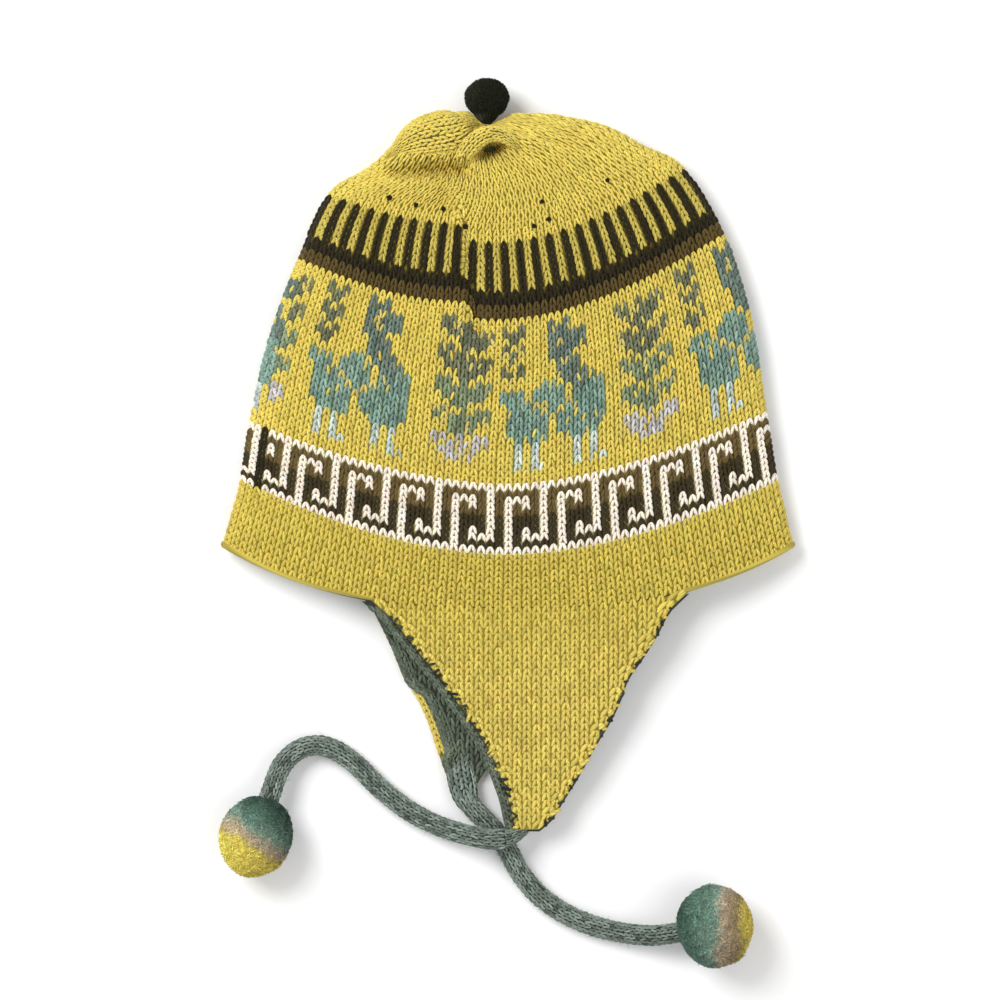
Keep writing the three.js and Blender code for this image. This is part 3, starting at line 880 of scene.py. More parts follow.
@dataclass
class Crown:
    """The crown's outer knitting and its grey lining."""

    cloth: HatCloth
    finishes: Finishes
    rng: np.random.Generator
    courses: Courses = field(default_factory=Courses)
    charts: Charts = field(default_factory=Charts)
    bed: float = 1.1 * MM
    seam: float = 1.5
    meander_phase: int = 1
    llamas: tuple[int, ...] = (4, 28, 52, 82, 113)
    trees: tuple[int, ...] = (-5, 20, 43, 68, 98)
    yellow_flecks: float = 0.35
    fleck_tones: tuple[float, float] = (0.7, 1.3)
    closing_rows: int = 4
    closing_end: float = 0.86
    heather: float = 0.07
    seen_from: float = -0.12
    fold_reach: float = 14.0
    hem_radius: float = 1.1 * MM
    hem_swell: float = 0.7
    hem_swell_power: int = 8
    hem_inset: float = 0.7
    pierce_reach: float = 3.0 * MM
    lip_share: float = 0.8
    eyelet_spread: tuple[float, float] = (0.8, 1.15)
    eyelet_tone: float = 0.5
    eyelet_sides: int = 8
    hem_steps: int = 240
    hem_sides: int = 10
    # Painted shade: the rolled hem is drawn darker than the rim's yarn.
    hem_shade_tone: float = 0.72
    flap_ends: tuple[tuple[float, float], ...] = ((-0.47, -0.48), (0.62, 0.57))
    # Painted shade: hue of the darkened wall that shows between the stitches.
    gap_shade_tint: tuple[float, float, float] = (1.0, 0.95, 0.45)
    eyelet_radius: float = 1.25 * MM
    eyelet_rise: tuple[float, float] = (0.2 * MM, 1.35 * MM)
    # Painted shade: how dark the wall between the stitches is drawn, at the rim, in the bands and on the
    # top.
    rim_gap_shade: float = 0.36
    band_gap_shade: float = 0.3
    top_gap_shade: float = 0.26
    # Painted shade: the crown lining's grey is drawn darker than the lining's stitches.
    lining_shade_tone: float = 0.7
    decreases: tuple[tuple[int, int], ...] = (
        (45, 112),
        (47, 106),
        (49, 102),
        (58, 98),
        (60, 92),
        (62, 86),
        (64, 80),
        (66, 72),
        (68, 62),
        (70, 50),
        (72, 38),
    )
    eyelets: tuple[tuple[float, float], ...] = (
        (-55.5, 191.8),
        (-43.0, 188.2),
        (-30.4, 186.6),
        (-20.0, 178.0),
        (12.0, 178.3),
        (19.0, 181.5),
        (15.9, 189.8),
        (46.5, 200.0),
    )

    def shares(self, count: int) -> np.ndarray:
        """Shares of the way round for the lines between stitches, from the seam on."""
        return (np.arange(count + 1) / count) + self.seam / self.courses.stitches

    @staticmethod
    def stamp(
        found: list[Shade], starts: tuple[int, ...], line: str, legend: dict[str, Shade]
    ) -> None:
        """Write a line of a chart over a row's shades at each start.

        Args:
            found: the row's shades, changed in place.
            starts: the stitches at which the chart starts.
            line: the chart's line.
            legend: the shade of each letter; other letters leave the row as it is.
        """
        for start in starts:
            for i, mark in enumerate(line):
                if mark in legend and 0 <= start + i < len(found):
                    found[start + i] = legend[mark]

    def figure_shades(self, row: int, count: int) -> list[Shade]:
        """Shades of a row of the figure band: llamas, trees and small chains.

        Args:
            row: the row counted down from the band's top.
            count: how many stitches it has.

        Returns:
            One shade for each stitch.
        """
        charts, figure = self.charts, row - 1
        found = [Shade.YELLOW] * count
        if not 0 <= figure < len(charts.llama):
            return found
        legend = {"S": Shade.SLATE, "T": Shade.TEAL, "L": Shade.PALE, "F": Shade.FLECK}
        self.stamp(found, self.llamas, charts.llama[figure], legend)
        if figure < charts.chain_rows:
            line = charts.chain[figure % len(charts.chain)]
            self.stamp(found, self.llamas, line, {"X": Shade.TREE_TOP})
        tier, step = divmod(figure - 1, len(charts.tree_tier))
        if 0 <= tier < len(charts.tree_tiers):
            legend = {"X": charts.tree_tiers[tier]}
            self.stamp(found, self.trees, charts.tree_tier[step], legend)
        return found

    def row_shades(self, row: int, count: int) -> np.ndarray:
        """Linear colours of a row of stitches, counted from the rim.

        Args:
            row: the row, 0 at the rim.
            count: how many stitches it has.

        Returns:
            (count, 3) colours.
        """
        c = self.courses
        ends = np.cumsum([c.rim_rows, c.meander_rows, c.figure_rows, c.brown_rows, c.dark_rows])
        meander, figures, brown, dark, bars = (int(end) for end in ends)
        if row < meander:
            shades = [Shade.RIM_YELLOW] * count
        elif row < figures:
            number = figures - 1 - row
            line = self.charts.meander[number]
            ground = Shade.EARTH if number < self.charts.earth_rows else Shade.UMBER
            marks = [line[(k + self.meander_phase) % len(line)] for k in range(count)]
            shades = [Shade.CREAM if mark == "W" else ground for mark in marks]
            shades[0] = Shade.DARK
        elif row < brown:
            shades = self.figure_shades(brown - 1 - row, count)
        elif row < dark:
            shades = [Shade.BROWN] * count
        elif row < bars:
            shades = [Shade.DARK] * count
        elif row < bars + c.bar_rows:
            shades = [Shade.DARK if k % 2 else Shade.SHADED_BAR_YELLOW for k in range(count)]
        else:
            shades = [Shade.YELLOW] * count
        return np.array([s.value for s in shades])

    def row_count(self, row: int) -> int:
        """How many stitches a row has, fewer after each round of decreases."""
        counts = [left for start, left in self.decreases if row >= start]
        return counts[-1] if counts else self.courses.stitches

    def flecked(self, shades: np.ndarray) -> np.ndarray:
        """Colours of both legs of each stitch, with pale flecks among the figures' yarn.

        Args:
            shades: one linear colour for each stitch.

        Returns:
            (n, 2, 3) colours, one for each leg.
        """
        legs = np.repeat(shades[:, None], 2, axis=1)
        for shade, chance in FLECK_CHANCES.items():
            member = np.all(np.isclose(shades, shade.value), axis=1)[:, None]
            drawn = self.rng.random((len(shades), 2))
            tone = self.rng.uniform(*self.fleck_tones, (len(shades), 2, 1))
            legs = np.where(member[..., None], legs * tone, legs)
            legs[member & (drawn < chance)] = Shade.FLECK.value
            legs[member & (drawn < chance * self.yellow_flecks)] = Shade.YELLOW.value
        return legs

    def pierce(self, cells: np.ndarray, found: dict[int, np.ndarray]) -> None:
        """Find where the eyelets lie, the small holes left by decreases.

        Args:
            cells: the row's cells.
            found: each eyelet's place so far.
        """
        middle = cells.mean(axis=1)
        for number, (x, y) in enumerate(self.eyelets):
            place = self.cloth.origin[:2] + np.array([x, y]) * MM
            away = np.hypot(*(middle[:, :2] - place).T)
            nearest = int(np.argmin(away))
            if away[nearest] < self.pierce_reach and number not in found:
                found[number] = np.append(place, middle[nearest, 2])

    def bed_ring(self, course: float, shares: np.ndarray) -> np.ndarray:
        """Ring on which the stitches lie; at the side folds it comes out to the outer face.

        Args:
            course: the course.
            shares: places round the ring.

        Returns:
            The ring's points.
        """
        turns = self.cloth.ring_turns(course, shares, snap=True)
        ring = self.cloth.point(course, turns, self.bed)
        across = np.cos(turns)
        ring[:, 0] += np.sign(across) * np.abs(across) ** self.fold_reach * self.bed
        return ring

    def row_line(self, row: int, shares: np.ndarray) -> np.ndarray:
        """Points of the line under a row, whether on the crown or in the closing gather.

        Args:
            row: the row, counted from the rim.
            shares: places round the ring.

        Returns:
            The line's points.
        """
        levels = self.courses.levels()
        last = len(levels) - 1
        if row <= last:
            return self.bed_ring(float(levels[row]), shares)
        share = (row - last) / self.closing_rows * self.closing_end
        return self.cloth.closing(share, shares, self.bed, self.courses.crown_end)

    def build(self) -> None:
        """Make the crown's stitches over and under, its eyelets, hem and wall, and the lining."""
        levels = self.courses.levels()
        wool = self.finishes.yarn("crown_wool")
        fine, open_knit = StitchShape(), StitchShape(spread=0.225, half=0.218)
        plain = StitchShape(along=3, across=2)
        rows = len(levels) - 1
        figures = self.courses.rim_rows + self.courses.meander_rows
        stripes = figures + self.courses.figure_rows
        bands = {
            "rim": (range(0, figures), fine),
            "figures": (range(figures, stripes), fine),
            "top": (range(stripes, rows + self.closing_rows), open_knit),
        }
        pierced: dict[int, np.ndarray] = {}
        for band, (members, shape) in bands.items():
            over, under = StitchField(shape, self.rng), StitchField(plain, self.rng)
            for row in members:
                count = self.row_count(row)
                shares = self.shares(count)
                cells = row_cells(self.row_line(row, shares), self.row_line(row + 1, shares))
                legs = self.flecked(self.row_shades(row, count))
                middle = np.mod((shares[:-1] + shares[1:]) / 2, 1.0)
                turns = self.cloth.ring_turns(float(levels[min(row, rows)]), middle)
                seen = np.sin(turns) > self.seen_from
                self.pierce(cells[seen], pierced)
                over.add_cells(cells[seen], legs[seen])
                under.add_cells(cells[~seen], legs[~seen])
            for side, stitches in (("over", over), ("under", under)):
                parts = stitches.legs(MeshParts(), self.heather)
                parts.piece(f"crown_{band}_{side}", wool, "crown", "outer_knit")
        self.build_eyelets(pierced, wool)
        self.build_hem(wool)
        self.build_wall(levels, wool)
        self.build_lining(levels)

    def build_eyelets(self, found: dict[int, np.ndarray], wool: bpy.types.Material) -> None:
        """Short dark plugs that stand for the eyelets' shadows.

        Args:
            found: their places.
            wool: the finish.
        """
        rise = np.linspace(*self.eyelet_rise, 4)[:, None] * UP
        lines = np.stack([place + rise for place in found.values()])
        radius = self.eyelet_radius * self.rng.uniform(*self.eyelet_spread, (len(lines), 1))
        parts = MeshParts()
        add_strands(parts, lines, radius, Shade.DARK.tone(self.eyelet_tone), self.eyelet_sides)
        parts.piece("crown_eyelets", wool, "crown", "outer_knit")

    def build_hem(self, wool: bpy.types.Material) -> None:
        """Rolled edge of the rim between the ear flaps, thickest at the side folds, darkened as painted
        shade.

        Args:
            wool: the finish.
        """
        parts = MeshParts()
        for side, (over, under) in zip((-1, 1), self.flap_ends):
            last = 2 * math.pi - math.acos(under) if side < 0 else -math.acos(under)
            turns = np.linspace(math.acos(over), last, self.hem_steps)
            swell = np.abs(np.cos(turns)) ** self.hem_swell_power
            radius = self.hem_radius * (1 + self.hem_swell * swell)
            line = self.cloth.point(np.zeros_like(turns), turns, self.hem_radius)
            line[:, 1] += radius * self.hem_inset
            tone = Shade.RIM_YELLOW.tone(self.hem_shade_tone)
            add_strands(parts, line[None], radius[None], tone, self.hem_sides)
        parts.piece("crown_hem", wool, "crown", "outer_knit")

    def add_tips(self, parts: MeshParts, rings: dict[float, np.ndarray], shade: np.ndarray) -> None:
        """Close a layer's outer and inner face at the gather.

        Args:
            parts: the mesh to add to.
            rings: each face's last ring by its depth, the outer face first.
            shade: the colour.
        """
        for number, (depth, ring) in enumerate(rings.items()):
            add_fan(parts, ring, self.cloth.gather_point(depth), shade, flip=number > 0)

    def build_wall(self, levels: np.ndarray, wool: bpy.types.Material) -> None:
        """Wall under the stitches, in their colours darkened as painted shade, joined at the rim and the
        gather.

        Args:
            levels: courses of the lines between rows.
            wool: the finish.
        """
        count, wall = self.courses.stitches, self.cloth.knit_wall
        shares = self.shares(count)[:-1]
        colours = []
        for level in range(len(levels)):
            row = min(level, len(levels) - 2)
            if row >= len(levels) - 1 - self.courses.crown_rows:
                shade, tone = np.tile(Shade.YELLOW.value, (count, 1)), self.top_gap_shade
            else:
                shade = self.row_shades(row, count)
                tone = self.rim_gap_shade if row < self.courses.rim_rows else self.band_gap_shade
            # Painted shade: the stitches' colour darkened for the wall between them.
            colours.append(shade * tone * np.array(self.gap_shade_tint))
        outer = [self.bed_ring(level, shares) for level in levels]
        inner = [self.cloth.ring(level, shares, wall) for level in levels]
        rings = inner[::-1] + outer
        parts = MeshParts()
        quads = grid_quads(len(rings), count, True)
        parts.add(np.concatenate(rings), quads, np.concatenate(colours[::-1] + colours))
        ends = {self.bed: outer[-1], wall: inner[-1]}
        self.add_tips(parts, ends, Shade.YELLOW.tone(self.top_gap_shade))
        parts.piece("crown_wall", wool, "crown", "outer_knit")

    def build_lining(self, levels: np.ndarray) -> None:
        """Grey inner knitting, whose edge peeks out along the rim.

        Args:
            levels: courses of the lines between rows.
        """
        wool = self.finishes.yarn("lining_wool")
        count = self.courses.stitches
        shares = self.shares(count)[:-1]
        near = self.cloth.knit_wall + self.cloth.layer_gap
        far = near + self.cloth.lining_wall
        outer = [self.cloth.ring(level, shares, near) for level in levels]
        inner = [self.cloth.ring(level, shares, far) for level in levels]
        show = np.array([0, self.cloth.lining_show, 0])
        side = show * self.lip_share
        lip = [outer[0] - side, (outer[0] + inner[0]) / 2 - show, inner[0] - side]
        rings = inner[::-1] + lip[::-1] + outer
        # Painted shade: the lining's grey, darkened.
        shade = Shade.LINING.tone(self.lining_shade_tone)
        parts = MeshParts()
        parts.add(np.concatenate(rings), grid_quads(len(rings), count, True), shade)
        self.add_tips(parts, {near: outer[-1], far: inner[-1]}, shade)
        parts.piece("crown_lining_knit", wool, "crown_lining", "lining_knit")


@dataclass
class Layer:
    """One layer of an ear flap: its depth, thickness, and what it adds at the outline."""

    depth: float
    wall: float
    start_gap: float
    back: float = 0.0
    front: float = 0.0
    tip: float = 0.0
    curl: tuple[float, float] | None = None
    curl_ends: float = 0.06

    def back_border(self, down: np.ndarray) -> np.ndarray:
        """How far the layer passes the outline's back edge at shares of the way down.

        A layer with a curl stays short of the edge only between the curl's two ends.

        Args:
            down: shares of the way down.

        Returns:
            The reach past the edge.
        """
        if self.curl is None:
            return np.full_like(down, self.back)
        start, end = self.curl
        window = ease((down - start) / self.curl_ends + 0.5)
        return self.back * window * ease((end - down) / self.curl_ends + 0.5)


@dataclass(frozen=True)
class EdgeStitches:
    """Overcast stitches along one edge of a flap: pitch, mean reach inwards and share of dark ones."""

    side: int
    pitch: float
    reach: float
    dark: float


@dataclass
class EarFlap:
    """An ear flap of outer knitting and lining, over or under."""

    name: str
    over: bool
    cloth: HatCloth
    finishes: Finishes
    rng: np.random.Generator
    length: float
    outline: Table
    knit: Layer
    lining: Layer
    seam: float
    row_height: float = 3.3 * MM
    border_row: float = 2.9 * MM / 1.15
    curl_row: float = 2.6 * MM
    pitch: float = 4.2 * MM
    least_stitch: float = 0.55
    tip_height: float = 16.2 * MM
    droop: float = 2.2 * MM
    bed: float = 1.1 * MM
    stitches: int = 124
    blend_rows: int = 10
    heather: tuple[float, float] = (0.08, 0.18)
    # Painted shade: the flap bodies that show between the stitches are their yarn colours much darkened.
    wall_shade_tint: tuple[float, float, float] = (0.38, 0.36, 0.25)
    lining_shade_tone: float = 0.3
    slab_steps: int = 40
    edge_round: float = 0.6 * MM
    least_pinch: float = 0.04
    over_insets: tuple[tuple[float, float], ...] = ((1.1, 0.4), (0.6, 0.8))
    under_insets: tuple[tuple[float, float], ...] = ((0.4, 1.1), (0.9, 0.2))
    lining_beds: tuple[float, float] = (0.8 * MM, 0.9 * MM)
    border_start: float = 0.02
    border: tuple[tuple[float, float], ...] = ((-0.2, 1.3), (3.3, -0.5), (6.6, 0.2))
    curl_lines: tuple[tuple[float, float], ...] = ((-0.4, 0.2), (3.7, -1.2))
    whip_arch: tuple[float, ...] = (-1.7, -0.1, 0.5, 0.75, 0.55, -0.5)
    whip_span: tuple[float, float] = (0.03, 0.99)
    whip_samples: int = 160
    whip_start: float = -0.5
    whip_jitter: float = 0.8 * MM
    whip_step: float = 1 * MM
    whip_reach: tuple[float, float] = (0.35, 1.3)
    whip_slant: tuple[float, float] = (0.6 * MM, 1.5 * MM)
    whip_tones: tuple[float, float] = (0.7, 2.2)
    whip_width: tuple[float, float] = (0.5, 0.85)
    whip_sides: int = 6
    whip: tuple[EdgeStitches, ...] = (
        EdgeStitches(-1, 3.5 * MM, 2.1 * MM, 0.85),
        EdgeStitches(1, 4.4 * MM, 1.3 * MM, 0.4),
    )

    def rim(self, x: np.ndarray, depth: float) -> np.ndarray:
        """Points of the rim over or under places across it."""
        turn = np.arccos(np.clip(x / self.cloth.half_width, -1, 1))
        return self.cloth.point(np.zeros_like(x), turn if self.over else -turn, depth)

    def edges(self, down: np.ndarray, layer: Layer) -> tuple[np.ndarray, np.ndarray]:
        """The layer's back and front edges at shares of the way down.

        Args:
            down: shares of the way down.
            layer: the layer.

        Returns:
            Places across of the back edge and of the front edge.
        """
        back = self.outline.read("back", down) * self.cloth.half_width - layer.back_border(down)
        front = self.outline.read("front", down) * self.cloth.half_width + layer.front
        return back, front

    def point(self, x: np.ndarray, down: np.ndarray, layer: Layer, depth: float) -> np.ndarray:
        """Points of a layer: rows follow the rim's curve and straighten towards the tip.

        Args:
            x: places across, in the row's frame.
            down: shares of the way from rim to tip.
            layer: the layer.
            depth: how far under the layer's upper face.

        Returns:
            Points in the row's frame.
        """
        x, down = np.broadcast_arrays(np.asarray(x, float), np.asarray(down, float))
        oy, oz = self.cloth.origin[1:]
        arc = (self.rim(x, 0)[..., 1] - oy) * (1 - down) ** 2
        y = arc - layer.start_gap - (self.length + layer.tip - layer.start_gap) * down
        start = self.rim(x, layer.depth)[..., 2] - oz
        if self.over:
            back, front = self.edges(down, layer)
            share = (x - back) / (front - back)
            droop = self.droop * (2 * share - 1) ** 2 * ease(down * 3)
            rest = self.tip_height - layer.depth
            z = start + (rest - start) * ease(down) - droop * (1 - down) - depth
        else:
            z = start + (layer.depth - start) * ease(down * 4) + layer.wall - depth
        return np.stack([x, y + oy, z + oz], -1)

    def cells(
        self,
        layer: Layer,
        depth: float,
        field_: StitchField,
        shades: tuple[Shade, Shade],
        flip: bool,
    ) -> None:
        """Add a layer's stitches: columns run straight down, cut off by the slanting edges.

        Args:
            layer: the layer.
            depth: depth of the stitches' bed under the layer's upper face.
            field_: where the stitches go.
            shades: their colours at the rim and, after some rows, further down.
            flip: whether the stitches face down.
        """
        layer = replace(layer, start_gap=0.0)
        shares = np.arange(self.stitches + 1) / self.stitches + self.seam / self.stitches
        side = np.sin(self.cloth.ring_turns(0.0, shares)) * (1 if self.over else -1) > 0
        lines = np.sort(self.cloth.ring(0.0, shares, 0)[side, 0])
        rows = int(round(self.length / self.row_height))
        least = self.least_stitch * self.pitch
        rim_shade, shade = (s.tone() for s in shades)
        for row in range(rows):
            ends = [self.edges(np.array(down / rows), layer) for down in (row, row + 1)]
            backs, fronts = zip(*ends)
            inside = lines[(lines > max(backs) + least) & (lines < min(fronts) - least)]
            upper, lower = (
                self.point(np.concatenate([[back], inside, [front]]), down / rows, layer, depth)
                for (back, front), down in zip(ends, (row, row + 1))
            )
            if flip:
                upper, lower = upper[::-1], lower[::-1]
            blend = min(1.0, row / self.blend_rows)
            field_.add_row(lower, upper, rim_shade + (shade - rim_shade) * blend)

    def edge_columns(
        self,
        layer: Layer,
        downs: np.ndarray,
        lines: tuple[tuple[float, float], ...],
        field_: StitchField,
        shade: Shade,
    ) -> None:
        """Add columns of stitches that run along a layer's back edge, facing up.

        Args:
            layer: the layer whose edge it is.
            downs: shares of the way down of the lines between rows.
            lines: how many millimetres each line between columns is inside the edge and under the
                layer's upper face.
            field_: where the stitches go.
            shade: their colour.
        """
        back = self.edges(downs, layer)[0]
        columns = [self.point(back + i * MM, downs, layer, under * MM) for i, under in lines]
        grid = np.stack(columns, 1)
        for upper, lower in zip(grid, grid[1:]):
            field_.add_row(lower, upper, shade.tone())

    def whip_stitches(self, layer: Layer) -> MeshParts:
        """Overcast stitches that bind the outer knitting to the lining along both edges.

        Each is a short arch of yarn square to the edge, from outside and below to inside and above.

        Args:
            layer: the outer knitting.

        Returns:
            The mesh parts.
        """
        downs = np.linspace(*self.whip_span, self.whip_samples)
        parts = MeshParts()
        t = np.linspace(self.whip_start, 1, len(self.whip_arch))
        light = Shade.FLAP_YELLOW.tone()
        for row in self.whip:
            edge = self.point(self.edges(downs, layer)[row.side > 0], downs, layer, 0.0)
            at = np.concatenate([[0], np.cumsum(np.linalg.norm(np.diff(edge, axis=0), axis=1))])
            places = np.arange(row.pitch, at[-1], row.pitch)
            places = places + self.rng.normal(0, self.whip_jitter, len(places))
            one = (len(places), 1)
            here, ahead = (
                np.stack([np.interp(places + step, at, edge[:, k]) for k in range(3)], 1)
                for step in (0, self.whip_step)
            )
            along = unit(ahead - here)
            inward = unit(np.cross(along, UP) * row.side)
            reach = row.reach * self.rng.uniform(*self.whip_reach, one)
            slant = self.rng.normal(*self.whip_slant, (*one, 1))
            lines = here[:, None] + inward[:, None] * (reach * t)[:, :, None]
            lines = lines + along[:, None] * slant * t[None, :, None]
            lines[:, :, 2] += np.array(self.whip_arch) * MM
            pick = (self.rng.random((*one, 1)) < row.dark).astype(float)
            dark = Shade.WHIP.tone() * self.rng.uniform(*self.whip_tones, (*one, 1))
            width = self.rng.uniform(*self.whip_width, one) * MM
            add_strands(parts, lines, width, pick * dark + (1 - pick) * light, self.whip_sides)
        return parts

    def slab(self, layer: Layer, inset: float, under: float, shade: np.ndarray) -> MeshParts:
        """Closed body of a layer with rounded edges: a loop across at every step down.

        Args:
            layer: the layer.
            inset: how far the body stays below the layer's upper face.
            under: how far it stays above the lower face.
            shade: its colour.

        Returns:
            The mesh parts.
        """
        n = self.slab_steps
        across = np.linspace(0, 1, n)
        thick = layer.wall - inset - under
        ring_u = np.concatenate([across, across[::-1]])
        ring_d = np.concatenate([np.full(n, -thick / 2), np.full(n, thick / 2)])
        rings = []
        for down in np.linspace(0, 1, n):
            back, front = self.edges(np.array(down), layer)
            edge = np.minimum(ring_u, 1 - ring_u) * (front - back) / self.edge_round
            pinch = np.sqrt(np.clip(1 - (1 - np.minimum(1, edge)) ** 2, self.least_pinch, 1))
            base = self.point(back + (front - back) * ring_u, down, layer, 0.0)
            base[:, 2] -= inset + thick / 2 + ring_d * pinch
            rings.append(base)
        parts = MeshParts()
        parts.add(np.concatenate(rings), grid_quads(n, 2 * n, True)[:, ::-1], shade)
        k = np.arange(n - 1)
        cap = np.stack([k, k + 1, 2 * n - 2 - k, 2 * n - 1 - k], 1)
        parts.add(rings[0], cap[:, ::-1], shade)
        parts.add(rings[-1], cap, shade)
        return parts

    def build(self) -> None:
        """Make both layers with their stitches."""
        wool = self.finishes.yarn(f"{self.name}_wool")
        grey = self.finishes.yarn(f"{self.name}_lining_wool")
        outer = (wool, f"ear_flap_{self.name}", "outer_knit")
        inner = (grey, f"flap_lining_{self.name}", "lining_knit")
        # Painted shade: darkened yellow and grey for the bodies under the stitches.
        shaded_yellow, shaded_grey = Shade.FLAP_YELLOW.tone() * self.wall_shade_tint, Shade.LINING.tone(self.lining_shade_tone)
        insets = self.over_insets if self.over else self.under_insets
        (knit_in, knit_under), (lining_in, lining_under) = (np.array(i) * MM for i in insets)
        body = self.slab(self.knit, knit_in, knit_under, shaded_yellow)
        body.piece(f"flap_{self.name}_wall", *outer)
        body = self.slab(self.lining, lining_in, lining_under, shaded_grey)
        body.piece(f"flap_{self.name}_lining_wall", *inner)
        fine, plain = StitchShape(), StitchShape(along=3, across=2)
        shown = StitchField(fine if self.over else plain, self.rng)
        hem = StitchField(plain if self.over else fine, self.rng)
        knit_bed = self.bed if self.over else self.knit.wall - self.bed
        over_bed, under_bed = self.lining_beds
        lining_bed = self.lining.wall - over_bed if self.over else under_bed
        yarn = (Shade.RIM_YELLOW, Shade.FLAP_YELLOW)
        self.cells(self.knit, knit_bed, shown, yarn, not self.over)
        self.cells(self.lining, lining_bed, hem, (Shade.LINING, Shade.LINING), self.over)
        if self.lining.curl:
            start, end = self.lining.curl
            downs = np.linspace(start, end, int((end - start) * self.length / self.curl_row) + 1)
            self.edge_columns(self.knit, downs, self.curl_lines, shown, Shade.FLAP_YELLOW)
        downs = np.linspace(self.border_start, 1, int(self.length / self.border_row) + 1)
        self.edge_columns(self.lining, downs, self.border, hem, Shade.LINING)
        stitches, hem_stitches = (f.legs(MeshParts(), h) for f, h in zip((shown, hem), self.heather))
        stitches.piece(f"flap_{self.name}_stitches", *outer)
        hem_stitches.piece(f"flap_{self.name}_lining_stitches", *inner)
        if self.over:
            self.whip_stitches(self.knit).piece(f"flap_{self.name}_whip", *inner)


class Route:
    """A smooth route through points, with a frame carried along it without twist."""

    def __init__(self, points: list[tuple[float, float, float]], origin: np.ndarray) -> None:
        """Keep the points, in metres in the row's frame.

        Args:
            points: places in millimetres from the middle of the rim.
            origin: the middle of the rim in the row's frame.
        """
        self.points = self._curve(np.array(points) * MM + origin)
        steps = np.linalg.norm(np.diff(self.points, axis=0), axis=1)
        self.at = np.concatenate([[0], np.cumsum(steps)])
        self.length = float(self.at[-1])

    @staticmethod
    def _curve(p: np.ndarray, steps: int = 12) -> np.ndarray:
        """Dense points of a cubic curve whose knots are spaced by the root of the distances.

        Args:
            p: the route's knots.
            steps: points on each stretch between two knots.

        Returns:
            The curve's points.
        """
        p = np.concatenate([[2 * p[0] - p[1]], p, [2 * p[-1] - p[-2]]])
        leg = np.diff(p, axis=0)
        gap = np.sqrt(np.linalg.norm(leg, axis=1))[:, None]
        slope = leg[:-1] / gap[:-1] - (p[2:] - p[:-2]) / (gap[:-1] + gap[1:]) + leg[1:] / gap[1:]
        t = np.linspace(0, 1, steps, endpoint=False)[None, :, None]
        first, second = slope[:-1] * gap[1:-1], slope[1:] * gap[1:-1]
        curve = (2 * t**3 - 3 * t**2 + 1) * p[1:-2, None] + (t**3 - 2 * t**2 + t) * first[:, None]
        curve = curve + (3 * t**2 - 2 * t**3) * p[2:-1, None] + (t**3 - t**2) * second[:, None]
        return np.concatenate([curve.reshape(-1, 3), p[-2:-1]])

    def place(self, at: np.ndarray) -> np.ndarray:
        """Points at distances along the route."""
        return np.stack([np.interp(at, self.at, self.points[:, k]) for k in range(3)], 1)

    def frames(self, places: np.ndarray) -> tuple[np.ndarray, np.ndarray, np.ndarray, np.ndarray]:
        """Point, heading, side and up at distances along the route.

        The side is kept level, which never fails on a route that lies on a table.

        Args:
            places: distances from the start.

        Returns:
            Points, and unit vectors ahead, sideways and up.
        """
        step = 0.4 * MM
        heading = unit(self.place(places + step) - self.place(places - step))
        side = unit(np.cross(heading, UP))
        return self.place(places), heading, side, np.cross(side, heading)


@dataclass
class KnitTube:
    """Knitting rolled into a tube along a route, thick and thin as its radii say."""

    route: Route
    rng: np.random.Generator
    radii: Table
    shade: Shade
    columns: int = 9
    row_height: float = 2.8 * MM
    bed: float = 0.9 * MM
    relief: float = 1.35 * MM
    heather: float = 0.3
    turn: float = 0.3
    # Painted shade: the core that shows between the tube's stitches is its colour much darkened.
    core_shade_tone: float = 0.14
    core_sides: int = 24
    least: float = 0.2 * MM

    def rings(self, places: np.ndarray, angles: np.ndarray) -> np.ndarray:
        """Points round the tube's bed at distances along the route.

        Args:
            places: distances from the start.
            angles: angles round the tube, from its side upwards.

        Returns:
            (places, angles, 3) points.
        """
        where, _, side, up = self.route.frames(places)
        share = places / self.route.length
        wide, high = (
            np.maximum(self.radii.read(name, share) * MM - self.bed, self.least)[:, None, None]
            for name in ("wide", "high")
        )
        across = np.cos(angles)[None, :, None] * side[:, None] * wide
        upward = np.sin(angles)[None, :, None] * up[:, None] * high
        return where[:, None] + across + upward

    def parts(self) -> MeshParts:
        """Core and stitches of the tube.

        Returns:
            The mesh parts.
        """
        rows = max(2, int(round(self.route.length / self.row_height)))
        places = np.linspace(0, self.route.length, rows + 1)
        angles = np.linspace(0, 2 * math.pi, self.columns + 1) + self.turn
        grid = self.rings(places, angles)[:, ::-1]
        stitches = StitchField(StitchShape(height=self.relief), self.rng)
        for low, high in zip(grid, grid[1:]):
            stitches.add_row(low, high, self.shade.tone())
        turn = np.linspace(0, 2 * math.pi, self.core_sides, endpoint=False)
        core = self.rings(np.linspace(0, self.route.length, rows * 2 + 1), turn)
        # Painted shade for the core between the stitches.
        dark = self.shade.tone(self.core_shade_tone)
        parts = MeshParts()
        quads = grid_quads(len(core), self.core_sides, True)[:, ::-1]
        parts.add(core.reshape(-1, 3), quads, dark)
        for ring, flip in ((core[0], False), (core[-1], True)):
            add_fan(parts, ring, ring.mean(0), dark, flip)
        return stitches.legs(parts, self.heather)


